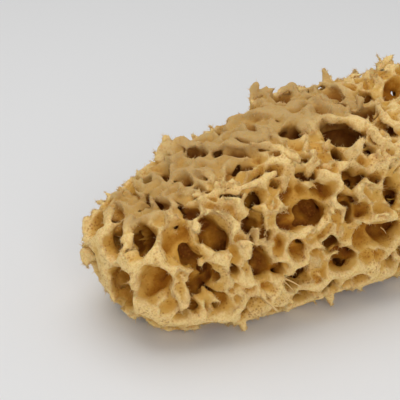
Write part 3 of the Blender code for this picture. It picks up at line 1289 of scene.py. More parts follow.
    def _scooped(self, clear: np.ndarray, rng: np.random.Generator) -> list[Pore]:
        """Dishes that fill the walls between the pits, widest room first, so that ridges remain.

        Args:
            clear: distance to the nearest pit's rim.
            rng: source of their walls, depths and ovals.

        Returns:
            The dishes.
        """
        growth = self.growth
        room = self.grid.sampled(clear, growth.spots)
        centres, radii, dishes = np.zeros((0, 3)), np.zeros(0), []
        for k in np.argsort(-room - rng.uniform(0, self.dish_shuffle, len(room))):
            wall, deepness, stretch, turn = rng.uniform(0, 1, 4)
            spot, normal = growth.spots[k], growth.spot_normals[k]
            space = room[k]
            if len(centres):
                space = min(space, (np.linalg.norm(centres - spot, axis=1) - radii).min())
            radius = min(space - between(self.dish_wall, wall), self.dish_radius[1])
            least = self.low_dish if spot[2] < self.low_dishes else self.dish_radius[0]
            if radius < least or spot[2] < self.cut_margin:
                continue
            if self.on_end_wall(spot):
                continue
            depth = radius * between(self.dish_hollow, deepness)
            if growth.on_smooth_skin(spot, normal):
                depth = depth * self.skin_dish
            long = between(self.dish_oval, stretch)
            dish = Pore(*spot, 2 * radius * long, 2 * radius / long, depth, 180 * turn)
            dishes.append(dish)
            centres = np.vstack([centres, spot])
            radii = np.append(radii, radius)
        LOG.info("scooped: %d dishes", len(dishes))
        return dishes

    def cut_dish(self, values: np.ndarray, dish: Pore) -> None:
        """Cuts one bowl: it lies depth * (1 - share^2) under the skin, and rises past its rim.

        Args:
            values: the field, changed in place.
            dish: the bowl.
        """
        block, share, inward = self.around_pore(dish, self.dish_spare)
        radius = (dish.width + dish.height) / 4
        steep = np.sqrt(1 + (2 * dish.depth * share / radius) ** 2)
        bowl = (inward - dish.depth * (1 - share**2)) / steep
        values[block] = later(values[block], -bowl, self.rim_roundness)

    def _cut_bites(self, values: np.ndarray, rng: np.random.Generator) -> None:
        """Takes notches out of the lower edge, which leave a ragged fringe over the cut.

        Args:
            values: the field, changed in place.
            rng: source of its random draws.
        """
        spots, normals = self.growth.spots, self.growth.spot_normals
        lowest, highest = self.bite_spots
        low = np.flatnonzero((spots[:, 2] < highest) & (spots[:, 2] > lowest))
        picks = low[rng.integers(0, len(low), self.bites)]
        radii = rng.uniform(*self.bite_radius, self.bites)
        for pick, radius, sink in zip(picks, radii, rng.uniform(*self.bite_sink, self.bites)):
            centre = spots[pick] - normals[pick] * radius * sink
            centre[2] = rng.uniform(*self.bite_height)
            self._cut_ball(values, centre, radius, self.bite_blend)

    def _cut_ball(
        self, values: np.ndarray, centre: np.ndarray, radius: float, blend: float
    ) -> None:
        """Takes an uneven ball out of the field: the bent distance from its centre to its radius.

        Args:
            values: the field, changed in place.
            centre: middle of the ball.
            radius: its radius.
            blend: how wide the rim is rounded.
        """
        block = self.grid.block_around(centre, radius + blend + self.ball_spare)
        if self.grid.is_thin(block):
            return
        away = self.away_from(block, centre)
        ball = np.sqrt(reach_along(away, away)) - radius
        values[block] = later(values[block], -ball, blend)

    def _cut_tunnels(self, values: np.ndarray, rng: np.random.Generator) -> None:
        """Hollows balls under the skin, which open windows between neighbouring pits.

        None lies under a shallow pit of the lists, so that its floor stays whole.

        Args:
            values: the field, changed in place.
            rng: source of its random draws.
        """
        spots, normals = self.growth.spots, self.growth.spot_normals
        open_spots = np.ones(len(spots), bool)
        for pore in LEFT_END_PORES + FRONT_PORES:
            if pore.depth < self.shallow:
                away = np.linalg.norm(spots - pore.place, axis=1)
                open_spots &= away > pore.size / 2 + self.tunnel_radius[1] / 2
        picks = rng.choice(np.flatnonzero(open_spots), self.tunnels)
        depths = rng.uniform(*self.tunnel_depth, self.tunnels)
        shares = rng.uniform(0, 1, self.tunnels) ** self.tunnel_bias
        radii = between(self.tunnel_radius, shares)
        for pick, depth, radius in zip(picks, depths, radii):
            centre = spots[pick] - normals[pick] * max(depth, radius + self.tunnel_roof)
            self._cut_ball(values, centre, radius, self.tunnel_blend)

    def _surface_cells(self, values: np.ndarray) -> np.ndarray:
        """Grid points next to the surface and above the cut.

        Args:
            values: the field.

        Returns:
            The grid points' three numbers, one point a row.
        """
        close = np.abs(values) < self.grid.step / 2
        close[:, :, self.grid.axes[2] < self.cut_margin] = False
        return np.argwhere(close)

    def _grow_spikes(self, values: np.ndarray, rng: np.random.Generator) -> None:
        """Draws small spikes out of the sharpest crests, where least around a point is solid.

        Args:
            values: the field, changed in place.
            rng: source of its random draws.
        """
        cells = self._surface_cells(values)
        solid = (values < 0).astype(np.float32)
        fullness = self.grid.blurred(solid, self.spike_reach)[tuple(cells.T)]
        crests = cells[fullness < np.quantile(fullness, self.spike_crests)]
        picks = crests[rng.integers(0, len(crests), self.spikes)]
        for cell, share in zip(picks, rng.uniform(0, 1, self.spikes)):
            block = tuple(slice(max(0, c - 1), c + 2) for c in cell)
            slope = np.array([part.mean() for part in np.gradient(values[block])])
            way = slope / (np.linalg.norm(slope) + TINY)
            way = way + rng.uniform(-self.spike_tilt, self.spike_tilt, 3)
            way = way / np.linalg.norm(way)
            place = self.grid.low + cell * self.grid.step
            rise, radius = between(self.spike_height, share), between(self.spike_radius, share)
            rise = rise * self.low_share(place[2])
            if self.growth.on_smooth_skin(place, way):
                rise = rise * self.skin_spike
            foot = place - way * self.spike_root
            self.add_point(values, foot, way, rise + self.spike_root, radius, 0.0, rng)

    def _cut_pinholes(self, values: np.ndarray, rng: np.random.Generator) -> None:
        """Sinks small holes into the walls and floors.

        Args:
            values: the field, changed in place.
            rng: source of its random draws.
        """
        cells = self._surface_cells(values)
        picks = cells[rng.integers(0, len(cells), self.pinholes)]
        radii = rng.uniform(*self.pinhole_radius, self.pinholes)
        for cell, radius in zip(picks, radii):
            place = self.grid.low + cell * self.grid.step
            self._cut_ball(values, place, radius, self.pinhole_blend)

    def build(self) -> bpy.types.Object:
        """Makes the skeleton's mesh and its attributes.

        Returns:
            The object, with attributes hollow, crest and top_skin, each from 0 to 1.
        """
        values = self.carved()
        points, faces = largest_piece(*self.grid.surface(values))
        points[:, 2] = np.maximum(points[:, 2], 0)
        LOG.info("skeleton surface: %d points, %d faces", len(points), len(faces))
        fine = linked("skeleton_fine", mesh_of("skeleton_fine", points, faces))
        thin = fine.modifiers.new("thinned", "DECIMATE")
        thin.ratio = self.triangles / (2 * len(faces))
        graph = bpy.context.evaluated_depsgraph_get()
        mesh = bpy.data.meshes.new_from_object(fine.evaluated_get(graph))
        bpy.data.objects.remove(fine)
        mesh.name = "sponge_skeleton"
        mesh.shade_smooth()
        self._mark(mesh, values)
        return linked("sponge_skeleton", mesh)

    def _mark(self, mesh: bpy.types.Mesh, values: np.ndarray) -> None:
        """Writes how hollow each point lies, how sharp its crest is, and whether it is on the top.

        Args:
            mesh: the skeleton's mesh.
            values: the field that it came from.
        """
        points = places_of(mesh)
        body, grid, marking = self.growth.body, self.grid, self.marking
        depth = marking.skin_depth - body.at(points) / marking.field_slope
        solid = (values < 0).astype(np.float32)
        near = grid.sampled(grid.blurred(solid, marking.near_reach), points)
        wide = grid.sampled(grid.blurred(solid, marking.wide_reach), points)
        # hollow drives the painted shade: it rises with the depth under the body and with how
        # walled in a point is
        hollow = rising(depth, 0, marking.deep) * marking.depth_weight
        hollow = hollow + rising(wide, *marking.walled_in) * marking.walled_weight
        # the amber on the pits' walls: painted shade and painted glow of light through the thin
        # walls
        amber = marking.depth_weight * grid.sampled(self.sunk, points)
        level = rising(body.normals(points)[:, 2], *marking.level)
        inland = rising(points[:, 1], *marking.inland)
        short = rising(marking.skin_end[0] - points[:, 0], 0, marking.skin_end[1])
        write_layers(mesh, {
            "hollow": np.clip(np.maximum(hollow, amber), 0, 1),
            "crest": rising(marking.crest[0] - near, 0, marking.crest[1]),
            "top_skin": level * inland * short,
        })


@dataclass
class Fuzz:
    """Fine horny fibres that stand out of the skeleton's crests and rims, in tufts.

    A fibre is a closed three-sided spike. Its centre line is foot + length * (share * way +
    share^2 * bend), and its radius falls in a straight line from the foot to a point.
    """

    skeleton: bpy.types.Object
    seed: int
    count: int = 12000
    length: tuple[float, float] = (0.5, 1.6)
    radius: tuple[float, float] = (0.07, 0.13)
    rings: tuple[float, ...] = (0.0, 0.4, 0.75)
    sunk: float = 0.25
    bend: float = 0.3
    splay: float = 0.5
    short_bias: float = 1.8
    lowest_foot: float = 1.0
    lowest_point: float = 0.1
    tuft_size: float = 4.0
    tuft_waves: int = 6
    tuft_contrast: float = 3.0
    tuft_level: float = 0.5
    between_tufts: float = 0.08
    outer_level: float = 1.2
    outer_fall: float = 2.2
    least_outer: float = 0.02
    off_crest: float = 0.05
    skin_thinning: float = 0.7
    jitter: float = 0.25

    def _feet(self, rng: np.random.Generator) -> tuple[np.ndarray, np.ndarray, np.ndarray]:
        """Picks feet among the skeleton's points, most of them on crests, and in patches.

        Args:
            rng: source of the picks.

        Returns:
            Feet, their outward normals, and how hollow each lies.
        """
        mesh = self.skeleton.data
        points = places_of(mesh)
        flat = np.empty(len(points) * 3, np.float32)
        mesh.vertex_normals.foreach_get("vector", flat)
        normals = flat.reshape(-1, 3).astype(float)
        hollow, crest, top = (
            read_layer(mesh, name) for name in ("hollow", "crest", "top_skin")
        )
        waves = rng.uniform(-1, 1, (self.tuft_waves, 3)) * 2 * math.pi / self.tuft_size
        phases = rng.uniform(0, 2 * math.pi, self.tuft_waves)
        tufts = np.cos(points @ waves.T + phases).sum(axis=1) / self.tuft_contrast
        tufts = np.clip(tufts + self.tuft_level, self.between_tufts, 1)
        outer = np.clip(self.outer_level - self.outer_fall * hollow, self.least_outer, 1)
        weight = (self.off_crest + crest) * outer * tufts
        weight = weight * (1 - self.skin_thinning * top) * (points[:, 2] > self.lowest_foot)
        picks = rng.choice(len(points), self.count, p=weight / weight.sum())
        jitter = rng.normal(0, self.jitter, (self.count, 3))
        outward = normals[picks]
        feet = points[picks] + jitter - outward * (jitter * outward).sum(1)[:, None]
        return feet, outward, hollow[picks]

    def build(self, name: str) -> bpy.types.Object:
        """Makes one piece of fuzz.

        Args:
            name: the piece's name.

        Returns:
            The object, with attributes hollow and tipward.
        """
        rng = np.random.default_rng(self.seed)
        feet, normals, hollow = self._feet(rng)
        ways = normals + rng.normal(0, self.splay, (self.count, 3))
        ways /= np.linalg.norm(ways, axis=1)[:, None]
        bends = rng.normal(0, self.bend, (self.count, 3))
        lengths = between(self.length, rng.uniform(0, 1, self.count) ** self.short_bias)
        radii = rng.uniform(*self.radius, self.count)
        points, faces, tipward = spikes_along(
            feet - ways * self.sunk, ways, bends, lengths, radii, np.array(self.rings)
        )
        points[:, 2] = np.maximum(points[:, 2], self.lowest_point)
        mesh = mesh_of(name, points, faces)
        write_layers(mesh, {
            "hollow": np.repeat(hollow, len(tipward)),
            "tipward": np.tile(tipward, self.count),
        })
        return linked(name, mesh)


SPIKE_SIDES = 3
SPIKE_TAPER = 0.8
SIDE_AXIS = (0.31, 0.83, 0.46)  # crossed with a spike's way, to give a direction across it


def spikes_along(
    feet: np.ndarray, ways: np.ndarray, bends: np.ndarray, lengths: np.ndarray,
    radii: np.ndarray, rings: np.ndarray,
) -> tuple[np.ndarray, np.ndarray, np.ndarray]:
    """Closed three-sided spikes, each a triangle carried along a bending line to a point.

    The line is foot + length * (share * way + share^2 * bend), and the triangle's radius falls in
    a straight line, by taper * share, as far as the last ring.

    Args:
        feet, ways, bends: foot, direction and sideways drift of each spike, one a row.
        lengths, radii: the length of each spike and its radius at the foot.
        rings: how far along each ring stands, from 0 towards 1, where the point is.

    Returns:
        Points, triangles, and how far along the points of one spike stand.
    """
    count, steps, sides = len(feet), len(rings), SPIKE_SIDES
    side = np.cross(ways, SIDE_AXIS)
    side /= np.linalg.norm(side, axis=1)[:, None]
    other = np.cross(ways, side)
    share = rings[None, :, None]
    bent = share * ways[:, None] + share**2 * bends[:, None]
    line = feet[:, None] + lengths[:, None, None] * bent
    angles = (np.arange(sides) * 2 * math.pi / sides)[None, :, None]
    ring = np.cos(angles) * side[:, None] + np.sin(angles) * other[:, None]
    width = radii[:, None] * (1 - SPIKE_TAPER * rings)[None]
    body = line[:, :, None] + width[:, :, None, None] * ring[:, None]
    tips = feet + lengths[:, None] * (ways + bends)
    points = np.concatenate([body.reshape(count, -1, 3), tips[:, None]], axis=1)
    each = steps * sides + 1
    triangles = [(0, 2, 1)]
    for level in range(steps - 1):
        for k in range(sides):
            a, b = level * sides + k, level * sides + (k + 1) % sides
            triangles += [(a, b, b + sides), (a, b + sides, a + sides)]
    last = (steps - 1) * sides
    triangles += [(last + k, last + (k + 1) % sides, each - 1) for k in range(sides)]
    starts = np.arange(count)[:, None, None] * each
    faces = (np.array(triangles)[None] + starts).reshape(-1, 3)
    tipward = np.append(np.repeat(rings, sides), 1.0)
    return points.reshape(-1, 3), faces, tipward


@dataclass(frozen=True)
class Strand:
    """A frayed strand: its foot, the way it leaves, its droop, length and radius."""

    foot: tuple[float, float, float]
    way: tuple[float, float, float]
    droop: tuple[float, float, float]
    length: float
    radius: float


STRANDS = (
    Strand((-24.8, -37.2, 24.6), (0.62, -0.68, -0.2), (0.2, 0.1, -0.5), 7.5, 0.6),
    Strand((-25.4, -37.0, 23.6), (0.5, -0.7, -0.4), (0.1, 0.0, -0.6), 5.5, 0.4),
    Strand((-34.0, -35.8, 18.2), (0.45, -0.68, -0.5), (0.1, -0.1, -0.3), 8.5, 0.75),
    Strand((-33.4, -35.6, 17.0), (0.5, -0.62, -0.6), (0.1, 0.0, -0.2), 7.5, 0.6),
    Strand((-33.0, -36.0, 19.4), (0.55, -0.7, -0.35), (0.2, 0.0, -0.6), 7.0, 0.4),
    Strand((-31.6, -36.2, 20.6), (0.4, -0.8, -0.2), (0.3, 0.1, -0.9), 7.0, 0.45),
    Strand((-30.4, -36.4, 21.4), (0.35, -0.8, -0.3), (0.0, 0.1, -1.0), 6.5, 0.4),
    Strand((-28.6, -36.6, 21.6), (0.3, -0.7, -0.5), (0.3, 0.0, -0.7), 7.0, 0.45),
    Strand((-26.8, -36.8, 21.8), (0.3, -0.65, -0.6), (0.1, 0.1, -0.5), 7.0, 0.4),
    Strand((-19.2, -27.0, 57.5), (-0.2, -0.7, 0.7), (-0.4, -0.2, 0.2), 4.5, 0.28),
    Strand((-68.3, -10.0, 48.5), (-0.3, -0.7, 0.6), (0.3, 0.1, 0.3), 4.0, 0.28),
    Strand((4.0, -40.0, 39.3), (0.1, -1.0, 0.2), (0.3, 0.0, 0.5), 4.0, 0.35),
    Strand((18.7, -42.5, 36.0), (0.2, -1.0, -0.1), (-0.3, 0.1, -0.5), 4.0, 0.35),
    Strand((-42.8, -32.5, 42.4), (-0.2, -0.9, 0.3), (0.1, 0.2, 0.4), 4.0, 0.45),
    Strand((-36.1, -32.5, 45.9), (0.1, -0.9, 0.4), (0.2, 0.1, 0.4), 3.5, 0.40),
)


@dataclass
class FrayedStrands:
    """The few loose strands long enough to be seen one by one."""

    strands: tuple[Strand, ...] = STRANDS
    rings: tuple[float, ...] = (0.0, 0.15, 0.3, 0.45, 0.6, 0.75, 0.88)
    droop: float = 0.6
    sunk: float = 1.2
    hollow: float = 0.2

    def build(self) -> bpy.types.Object:
        """Makes the strands as one piece, each a bent spike with many rings.

        Returns:
            The object, with attributes hollow and tipward.
        """
        feet = np.array([strand.foot for strand in self.strands])
        ways = np.array([strand.way for strand in self.strands])
        ways /= np.linalg.norm(ways, axis=1)[:, None]
        bends = np.array([strand.droop for strand in self.strands]) * self.droop
        lengths = np.array([strand.length for strand in self.strands])
        radii = np.array([strand.radius for strand in self.strands])
        points, faces, tipward = spikes_along(
            feet - ways * self.sunk, ways, bends, lengths, radii, np.array(self.rings)
        )
        mesh = mesh_of("frayed_strands", points, faces)
        write_layers(mesh, {
            "hollow": np.full(len(points), self.hollow),
            "tipward": np.tile(tipward, len(self.strands)),
        })
        return linked("frayed_strands", mesh)


class Nodes:
    """Adds nodes to a tree and joins them, with inputs given by name or number."""

    def __init__(self, tree: bpy.types.NodeTree) -> None:
        """Keeps the tree."""
        self.tree = tree

    def add(self, kind: str, inputs: Optional[dict] = None, **settings: object) -> bpy.types.Node:
        """Adds a node.

        Args:
            kind: the node's type name.
            inputs: for each input, a value or another node's output socket.
            settings: attributes of the node itself.

        Returns:
            The node.
        """
        node = self.tree.nodes.new(kind)
        for name, value in settings.items():
            setattr(node, name, value)
        for key, value in (inputs or {}).items():
            if isinstance(value, bpy.types.NodeSocket):
                self.tree.links.new(value, node.inputs[key])
            else:
                node.inputs[key].default_value = value
        return node

    def math(self, operation: str, first: object, second: object = 0.0,
             clamped: bool = False) -> bpy.types.NodeSocket:
        """The output of a Math node.

        Args:
            operation: what it does.
            first, second: numbers or sockets.
            clamped: whether the result is kept from 0 to 1.

        Returns:
            The node's output socket.
        """
        node = self.add("ShaderNodeMath", {0: first, 1: second}, operation=operation)
        node.use_clamp = clamped
        return node.outputs[0]

    def product(self, first: object, second: object) -> bpy.types.NodeSocket:
        """The product of two numbers."""
        return self.math("MULTIPLY", first, second)

    def rest(self, value: object) -> bpy.types.NodeSocket:
        """What a share leaves of 1."""
        return self.math("SUBTRACT", 1.0, value)

    def layer(self, name: str) -> bpy.types.NodeSocket:
        """The number that the mesh keeps for each point under this name."""
        return self.add("ShaderNodeAttribute", attribute_name=name).outputs["Fac"]

    def noise(self, place: object, scale: object, detail: float,
              roughness: float = 0.5) -> bpy.types.NodeSocket:
        """Noise about 0.5, with this many finer layers over it."""
        inputs = {"Vector": place, "Scale": scale, "Detail": detail, "Roughness": roughness}
        return self.add("ShaderNodeTexNoise", inputs).outputs[0]

    def mixed(self, share: object, first: object, second: object) -> bpy.types.NodeSocket:
        """The colour that lies this share of the way from the first to the second."""
        inputs = {0: share, 6: first, 7: second}
        return self.add("ShaderNodeMix", inputs, data_type="RGBA").outputs[2]

    def stepped(self, value: object, low: float, high: float) -> bpy.types.NodeSocket:
        """0 where the value is under low, 1 over high, and smooth between them."""
        inputs = {"Value": value, "From Min": low, "From Max": high}
        return self.add("ShaderNodeMapRange", inputs, interpolation_type="SMOOTHSTEP").outputs[0]

    def matt(self, base: object, roughness: float, gloss: float,
             normal: object = None) -> bpy.types.Node:
        """A matt surface shader, joined to the material's output.

        Args:
            base: its colour.
            roughness: its roughness.
            gloss: how strongly it mirrors.
            normal: its normals, if a pattern bends them.

        Returns:
            The shader's node.
        """
        inputs = {"Base Color": base} if normal is None else {"Base Color": base, "Normal": normal}
        shader = self.add("ShaderNodeBsdfPrincipled", inputs)
        shader.inputs["Roughness"].default_value = roughness
        shader.inputs["Specular IOR Level"].default_value = gloss
        self.add("ShaderNodeOutputMaterial", {"Surface": shader.outputs[0]})
        return shader


def blank_material(name: str) -> tuple[bpy.types.Material, Nodes]:
    """A material without nodes, and what adds them to it.

    Args:
        name: the material's name.

    Returns:
        The material, and the adder of its nodes.
    """
    material = bpy.data.materials.new(name)
    material.use_nodes = True
    material.node_tree.nodes.clear()
    return material, Nodes(material.node_tree)


Colour = tuple[float, float, float, float]


def colour(red: int, green: int, blue: int) -> Colour:
    """A colour as seen on a screen, 0 to 255, as the linear light that a shader takes.

    Args:
        red, green, blue: the colour on a screen.

    Returns:
        The colour, with an alpha of 1.
    """
    shares = (value / 255 for value in (red, green, blue))
    linear = [s / 12.92 if s <= 0.04045 else ((s + 0.055) / 1.055) ** 2.4 for s in shares]
    return (linear[0], linear[1], linear[2], 1.0)


class Patchiness:
    """Node group: slow and fine unevenness of tone over the sponge."""

    NAME = "uneven_tone"
    COARSE = 60.0
    FINE = 600.0
    COARSE_DETAIL = 3.0
    FINE_DETAIL = 4.0

    @classmethod
    def group(cls) -> bpy.types.NodeTree:
        """The group, built once: Coarse and Fine scales in, Tone about 0.5 out.

        Returns:
            The group.
        """
        if cls.NAME in bpy.data.node_groups:
            return bpy.data.node_groups[cls.NAME]
        tree = bpy.data.node_groups.new(cls.NAME, "ShaderNodeTree")
        number = "NodeSocketFloat"
        for label, default in (("Coarse", cls.COARSE), ("Fine", cls.FINE)):
            socket = tree.interface.new_socket(label, in_out="INPUT", socket_type=number)
            socket.default_value = default
        tree.interface.new_socket("Tone", in_out="OUTPUT", socket_type=number)
        nodes = Nodes(tree)
        inputs = nodes.add("NodeGroupInput")
        place = nodes.add("ShaderNodeTexCoord").outputs["Object"]
        slow = nodes.noise(place, inputs.outputs["Coarse"], cls.COARSE_DETAIL)
        fast = nodes.noise(place, inputs.outputs["Fine"], cls.FINE_DETAIL)
        nodes.add("NodeGroupOutput", {"Tone": nodes.product(nodes.math("ADD", slow, fast), 0.5)})
        return tree

    @classmethod
    def tone(cls, nodes: Nodes) -> bpy.types.NodeSocket:
        """The group's output, placed in a material with the group's own scales."""
        return nodes.add("ShaderNodeGroup", node_tree=cls.group()).outputs["Tone"]


@dataclass(frozen=True)
class SkeletonFinish:
    """Dry horny skeleton: pale on the ridges, amber to dark brown down in the pores, a colour
    that paints the shade in the pores and the glow of light through their thin walls.
    """

    ridge: Colour = colour(238, 208, 144)
    wall: Colour = colour(214, 171, 92)
    slope: Colour = colour(204, 155, 68)
    # painted shade: the slope, deep and hole stops colour the pits darker the more hollow they lie
    deep: Colour = colour(168, 110, 22)
    hole_shade: Colour = colour(118, 62, 4)
    # the top's colour: partly its own greyer tone, partly painted shade from its relief
    skin: Colour = colour(177, 145, 96)
    # painted shade: brown dots where tiny pits of the surface would lie in shadow
    pit_dot_shade: Colour = colour(156, 92, 26)
    stops: tuple[float, float, float] = (0.18, 0.42, 0.68)
    unevenness: float = 0.7
    # paler crests: partly the pale fibres there, partly a painted highlight
    crest_pale_and_highlight: float = 0.12
    skin_shade_cover: float = 0.8
    roughness: float = 0.85
    gloss: float = 0.2
    glow: float = 0.3
    glow_depth: float = 1.6 * MM
    glow_spread: tuple[float, float, float] = (1.0, 0.55, 0.2)
    dot_scale: float = 780.0
    dot_edge: tuple[float, float] = (0.48, 0.2)
    pit_dot_shade_cover: float = 0.65
    skin_dots: float = 0.75
    patch_scale: float = 130.0
    patch_detail: float = 1.0
    patch_edge: tuple[float, float] = (0.44, 0.56)
    grain_scale: float = 1300.0
    grain_detail: float = 5.0
    grain_roughness: float = 0.65
    grain_edge: tuple[float, float] = (0.56, 0.36)
    grain_depth: float = 0.2 * MM
    grain_shade: float = 0.45

    def material(self) -> bpy.types.Material:
        """Builds the material: the ramp, then the skin, dots and grain over it.

        Returns:
            The material.
        """
        material, nodes = blank_material("dry_skeleton")
        hollow, crest, top = (nodes.layer(name) for name in ("hollow", "crest", "top_skin"))
        place = nodes.add("ShaderNodeTexCoord").outputs["Object"]
        base = self._shaded_ramp(nodes, hollow, crest)
        # painted shade in part: the top skin, out of the hollows, takes the darker, greyer skin
        # colour
        skin = nodes.math("MULTIPLY", top, nodes.rest(hollow), clamped=True)
        base = nodes.mixed(nodes.product(skin, self.skin_shade_cover), base, self.skin)
        # painted shade of tiny pits, as brown dots in patches
        dots = self._pit_dots(nodes, place, crest, top)
        base = nodes.mixed(nodes.product(dots, self.pit_dot_shade_cover), base, self.pit_dot_shade)
        grain = nodes.noise(place, self.grain_scale, self.grain_detail, self.grain_roughness)
        worn = nodes.product(nodes.stepped(grain, *self.grain_edge), self.grain_shade)
        base = nodes.mixed(nodes.product(worn, nodes.rest(hollow)), base, self.slope)
        bump = {"Height": grain, "Distance": self.grain_depth, "Strength": 1.0}
        normal = nodes.add("ShaderNodeBump", bump).outputs[0]
        shader = nodes.matt(base, self.roughness, self.gloss, normal)
        shader.inputs["Subsurface Weight"].default_value = self.glow
        shader.inputs["Subsurface Radius"].default_value = self.glow_spread
        shader.inputs["Subsurface Scale"].default_value = self.glow_depth
        return material

    def _shaded_ramp(self, nodes: Nodes, hollow: object, crest: object) -> bpy.types.NodeSocket:
        """The colour by how hollow a point lies, darkened down the hollows as painted shade, made
        uneven, and paler on the crests, partly as a painted highlight.

        Args:
            nodes: the material's nodes.
            hollow, crest: how hollow and how sharp a point is.

        Returns:
            The colour's socket.
        """
        drift = nodes.math("SUBTRACT", Patchiness.tone(nodes), 0.5)
        level = nodes.math("ADD", hollow, nodes.product(drift, self.unevenness))
        lift = nodes.product(crest, self.crest_pale_and_highlight)
        level = nodes.math("SUBTRACT", level, lift, clamped=True)
        # painted shade: the ramp runs from the pale ridge to the dark hole as a point lies more
        # hollow
        ramp = nodes.add("ShaderNodeValToRGB", {"Fac": level})
        elements = ramp.color_ramp.elements
        elements[0].position, elements[0].color = 0.0, self.ridge
        elements[1].position, elements[1].color = 1.0, self.hole_shade
        for position, shade in zip(self.stops, (self.wall, self.slope, self.deep)):
            elements.new(position).color = shade
        return ramp.outputs["Color"]

    def _pit_dots(
        self, nodes: Nodes, place: object, crest: object, top: object
    ) -> bpy.types.NodeSocket:
        """Where the fine dots are, brown spots that paint the shade of tiny pits: in patches, off
        the crests, and fainter on the top.

        Args:
            nodes: the material's nodes.
            place: the coordinates.
            crest, top: how sharp a point is, and how far it is on the top.

        Returns:
            The socket of their share, from 0 to 1.
        """
        cells = {"Vector": place, "Scale": self.dot_scale, "Randomness": 1.0}
        distance = nodes.add("ShaderNodeTexVoronoi", cells).outputs["Distance"]
        patch = nodes.noise(place, self.patch_scale, self.patch_detail)
        dots = nodes.product(
            nodes.stepped(patch, *self.patch_edge), nodes.stepped(distance, *self.dot_edge)
        )
        plain = nodes.math("MAXIMUM", crest, nodes.product(top, self.skin_dots))
        return nodes.math("MULTIPLY", dots, nodes.rest(plain), clamped=True)


@dataclass(frozen=True)
class FibreFinish:
    """Loose fibres: the tone of what they grow from, paler and warmer towards their tips, with
    painted shade on those that stand in the hollows.
    """

    foot: Colour = colour(222, 182, 112)
    tip: Colour = colour(250, 226, 176)
    shade: Colour = colour(170, 116, 48)
    shaded: tuple[float, float] = (0.35, 1.0)
    roughness: float = 0.7
    gloss: float = 0.2

    def material(self) -> bpy.types.Material:
        """Builds the material.

        Returns:
            The material.
        """
        material, nodes = blank_material("dry_fibre")
        tipward = nodes.product(nodes.layer("tipward"), Patchiness.tone(nodes))
        base = nodes.mixed(tipward, self.foot, self.tip)
        # painted shade: fibres that stand in the hollows take the darker shade colour
        depth = nodes.stepped(nodes.layer("hollow"), *self.shaded)
        nodes.matt(nodes.mixed(depth, base, self.shade), self.roughness, self.gloss)
        return material


@dataclass(frozen=True)
class StudioFinish:
    """The plain pale floor."""

    tone: Colour = (0.8, 0.8, 0.8, 1.0)
    roughness: float = 0.9
    gloss: float = 0.1

    def material(self) -> bpy.types.Material:
        """Builds the material.

        Returns:
            The material.
        """
        material, nodes = blank_material("studio_floor")
        nodes.matt(self.tone, self.roughness, self.gloss)
        return material


class Softness(Enum):
    """Width of a studio light, in metres."""

    BROAD = 0.9
    MEDIUM = 0.5


@dataclass(frozen=True)
class Lamp:
    """An area light that looks at the sponge: its place in metres, and its power in watts."""

    name: str
    place: tuple[float, float, float]
    power: float
    softness: Softness


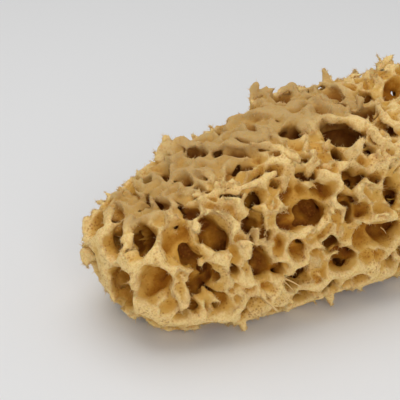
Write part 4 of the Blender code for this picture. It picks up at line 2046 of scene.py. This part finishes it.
@dataclass
class Studio:
    """Floor, lights and camera.

    The camera's distance, lens and target are in millimetres and its angles in degrees, and the
    floor's half width is in metres.
    """

    lamps: tuple[Lamp, ...] = (
        Lamp("overhead", (-0.1, 0.15, 0.95), 3.9, Softness.BROAD),
        Lamp("front_fill", (-0.35, -0.8, 0.45), 2.5, Softness.MEDIUM),
    )
    world_light: float = 0.49
    world_colour: Colour = (1.0, 1.0, 1.0, 1.0)
    azimuth: float = -33.0
    elevation: float = 27.0
    distance: float = 440.0
    lens: float = 100.0
    sensor: float = 36.0
    target: tuple[float, float, float] = (-38.5, 2.0, 45.5)
    floor_half_width: float = 4.0

    def build(self) -> None:
        """Adds all of it to the scene."""
        self._camera()
        half = self.floor_half_width
        mesh = bpy.data.meshes.new("floor")
        corners = [(-half, -half, 0), (half, -half, 0), (half, half, 0), (-half, half, 0)]
        mesh.from_pydata(corners, [], [(0, 1, 2, 3)])
        floor = linked("floor", mesh)
        mesh.materials.append(StudioFinish().material())
        for lamp in self.lamps:
            light = bpy.data.lights.new(lamp.name, "AREA")
            light.energy = lamp.power
            light.size = lamp.softness.value
            holder = linked(lamp.name, light)
            holder.location = lamp.place
            holder.rotation_euler = Vector(lamp.place).to_track_quat("Z", "Y").to_euler()
        world = bpy.data.worlds.new("studio_air")
        world.use_nodes = True
        background = world.node_tree.nodes["Background"]
        background.inputs["Color"].default_value = self.world_colour
        background.inputs["Strength"].default_value = self.world_light
        bpy.context.scene.world = world
        bpy.context.scene.view_settings.view_transform = "Standard"

    def _camera(self) -> None:
        """Stands the camera at the viewing angle."""
        turn, tilt = math.radians(self.azimuth), math.radians(self.elevation)
        back = Vector(
            (math.sin(turn) * math.cos(tilt), -math.cos(turn) * math.cos(tilt), math.sin(tilt))
        )
        right = Vector((math.cos(turn), math.sin(turn), 0))
        up = back.cross(right)
        lens = bpy.data.cameras.new("camera")
        lens.lens = self.lens
        lens.sensor_width = self.sensor
        camera = linked("camera", lens)
        place = Matrix((right, up, back)).transposed().to_4x4()
        place.translation = (Vector(self.target) + back * self.distance) * MM
        camera.matrix_world = place
        bpy.context.scene.camera = camera


@dataclass
class Sponge:
    """The whole sponge: its skeleton, the fuzz on it, and the frayed strands."""

    step: float = 0.55
    quick_step: float = 0.8
    margin: tuple[float, float, float] = (3.5, 1.5, 1.2)
    steps_below: int = 2
    fuzz_pieces: int = 3
    fuzz_seed: int = 100

    def build(self) -> list[bpy.types.Object]:
        """Makes and dresses every piece.

        Returns:
            The pieces, of which the first stands for the CAD node.
        """
        step = self.step
        low, high = (np.array(corner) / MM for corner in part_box("sponge"))
        low, high = low - self.margin, high + self.margin
        low[2] = -self.steps_below * step
        growth = Growth(Body())
        LOG.info("grown: %d pores, %d thorns", len(growth.pores), len(growth.thorns))
        skeleton = Skeleton(growth, Grid(low, high, step)).build()
        skeleton.data.materials.append(SkeletonFinish().material())
        loose = [
            Fuzz(skeleton, seed=self.fuzz_seed + k).build(f"fuzz_{k + 1}")
            for k in range(self.fuzz_pieces)
        ]
        loose.append(FrayedStrands().build())
        fibre = FibreFinish().material()
        for piece in loose:
            piece.data.materials.append(fibre)
        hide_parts("sponge")
        for piece in (skeleton, *loose):
            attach(piece, "root")
        return [skeleton, *loose]


def main() -> None:
    """Builds the studio and the sponge."""
    logging.basicConfig(level=logging.INFO, format="%(name)s: %(message)s")
    Studio().build()
    for piece in Sponge().build():
        LOG.info("%s: %d faces", piece.name, len(piece.data.polygons))


if __name__ == "__main__":
    main()
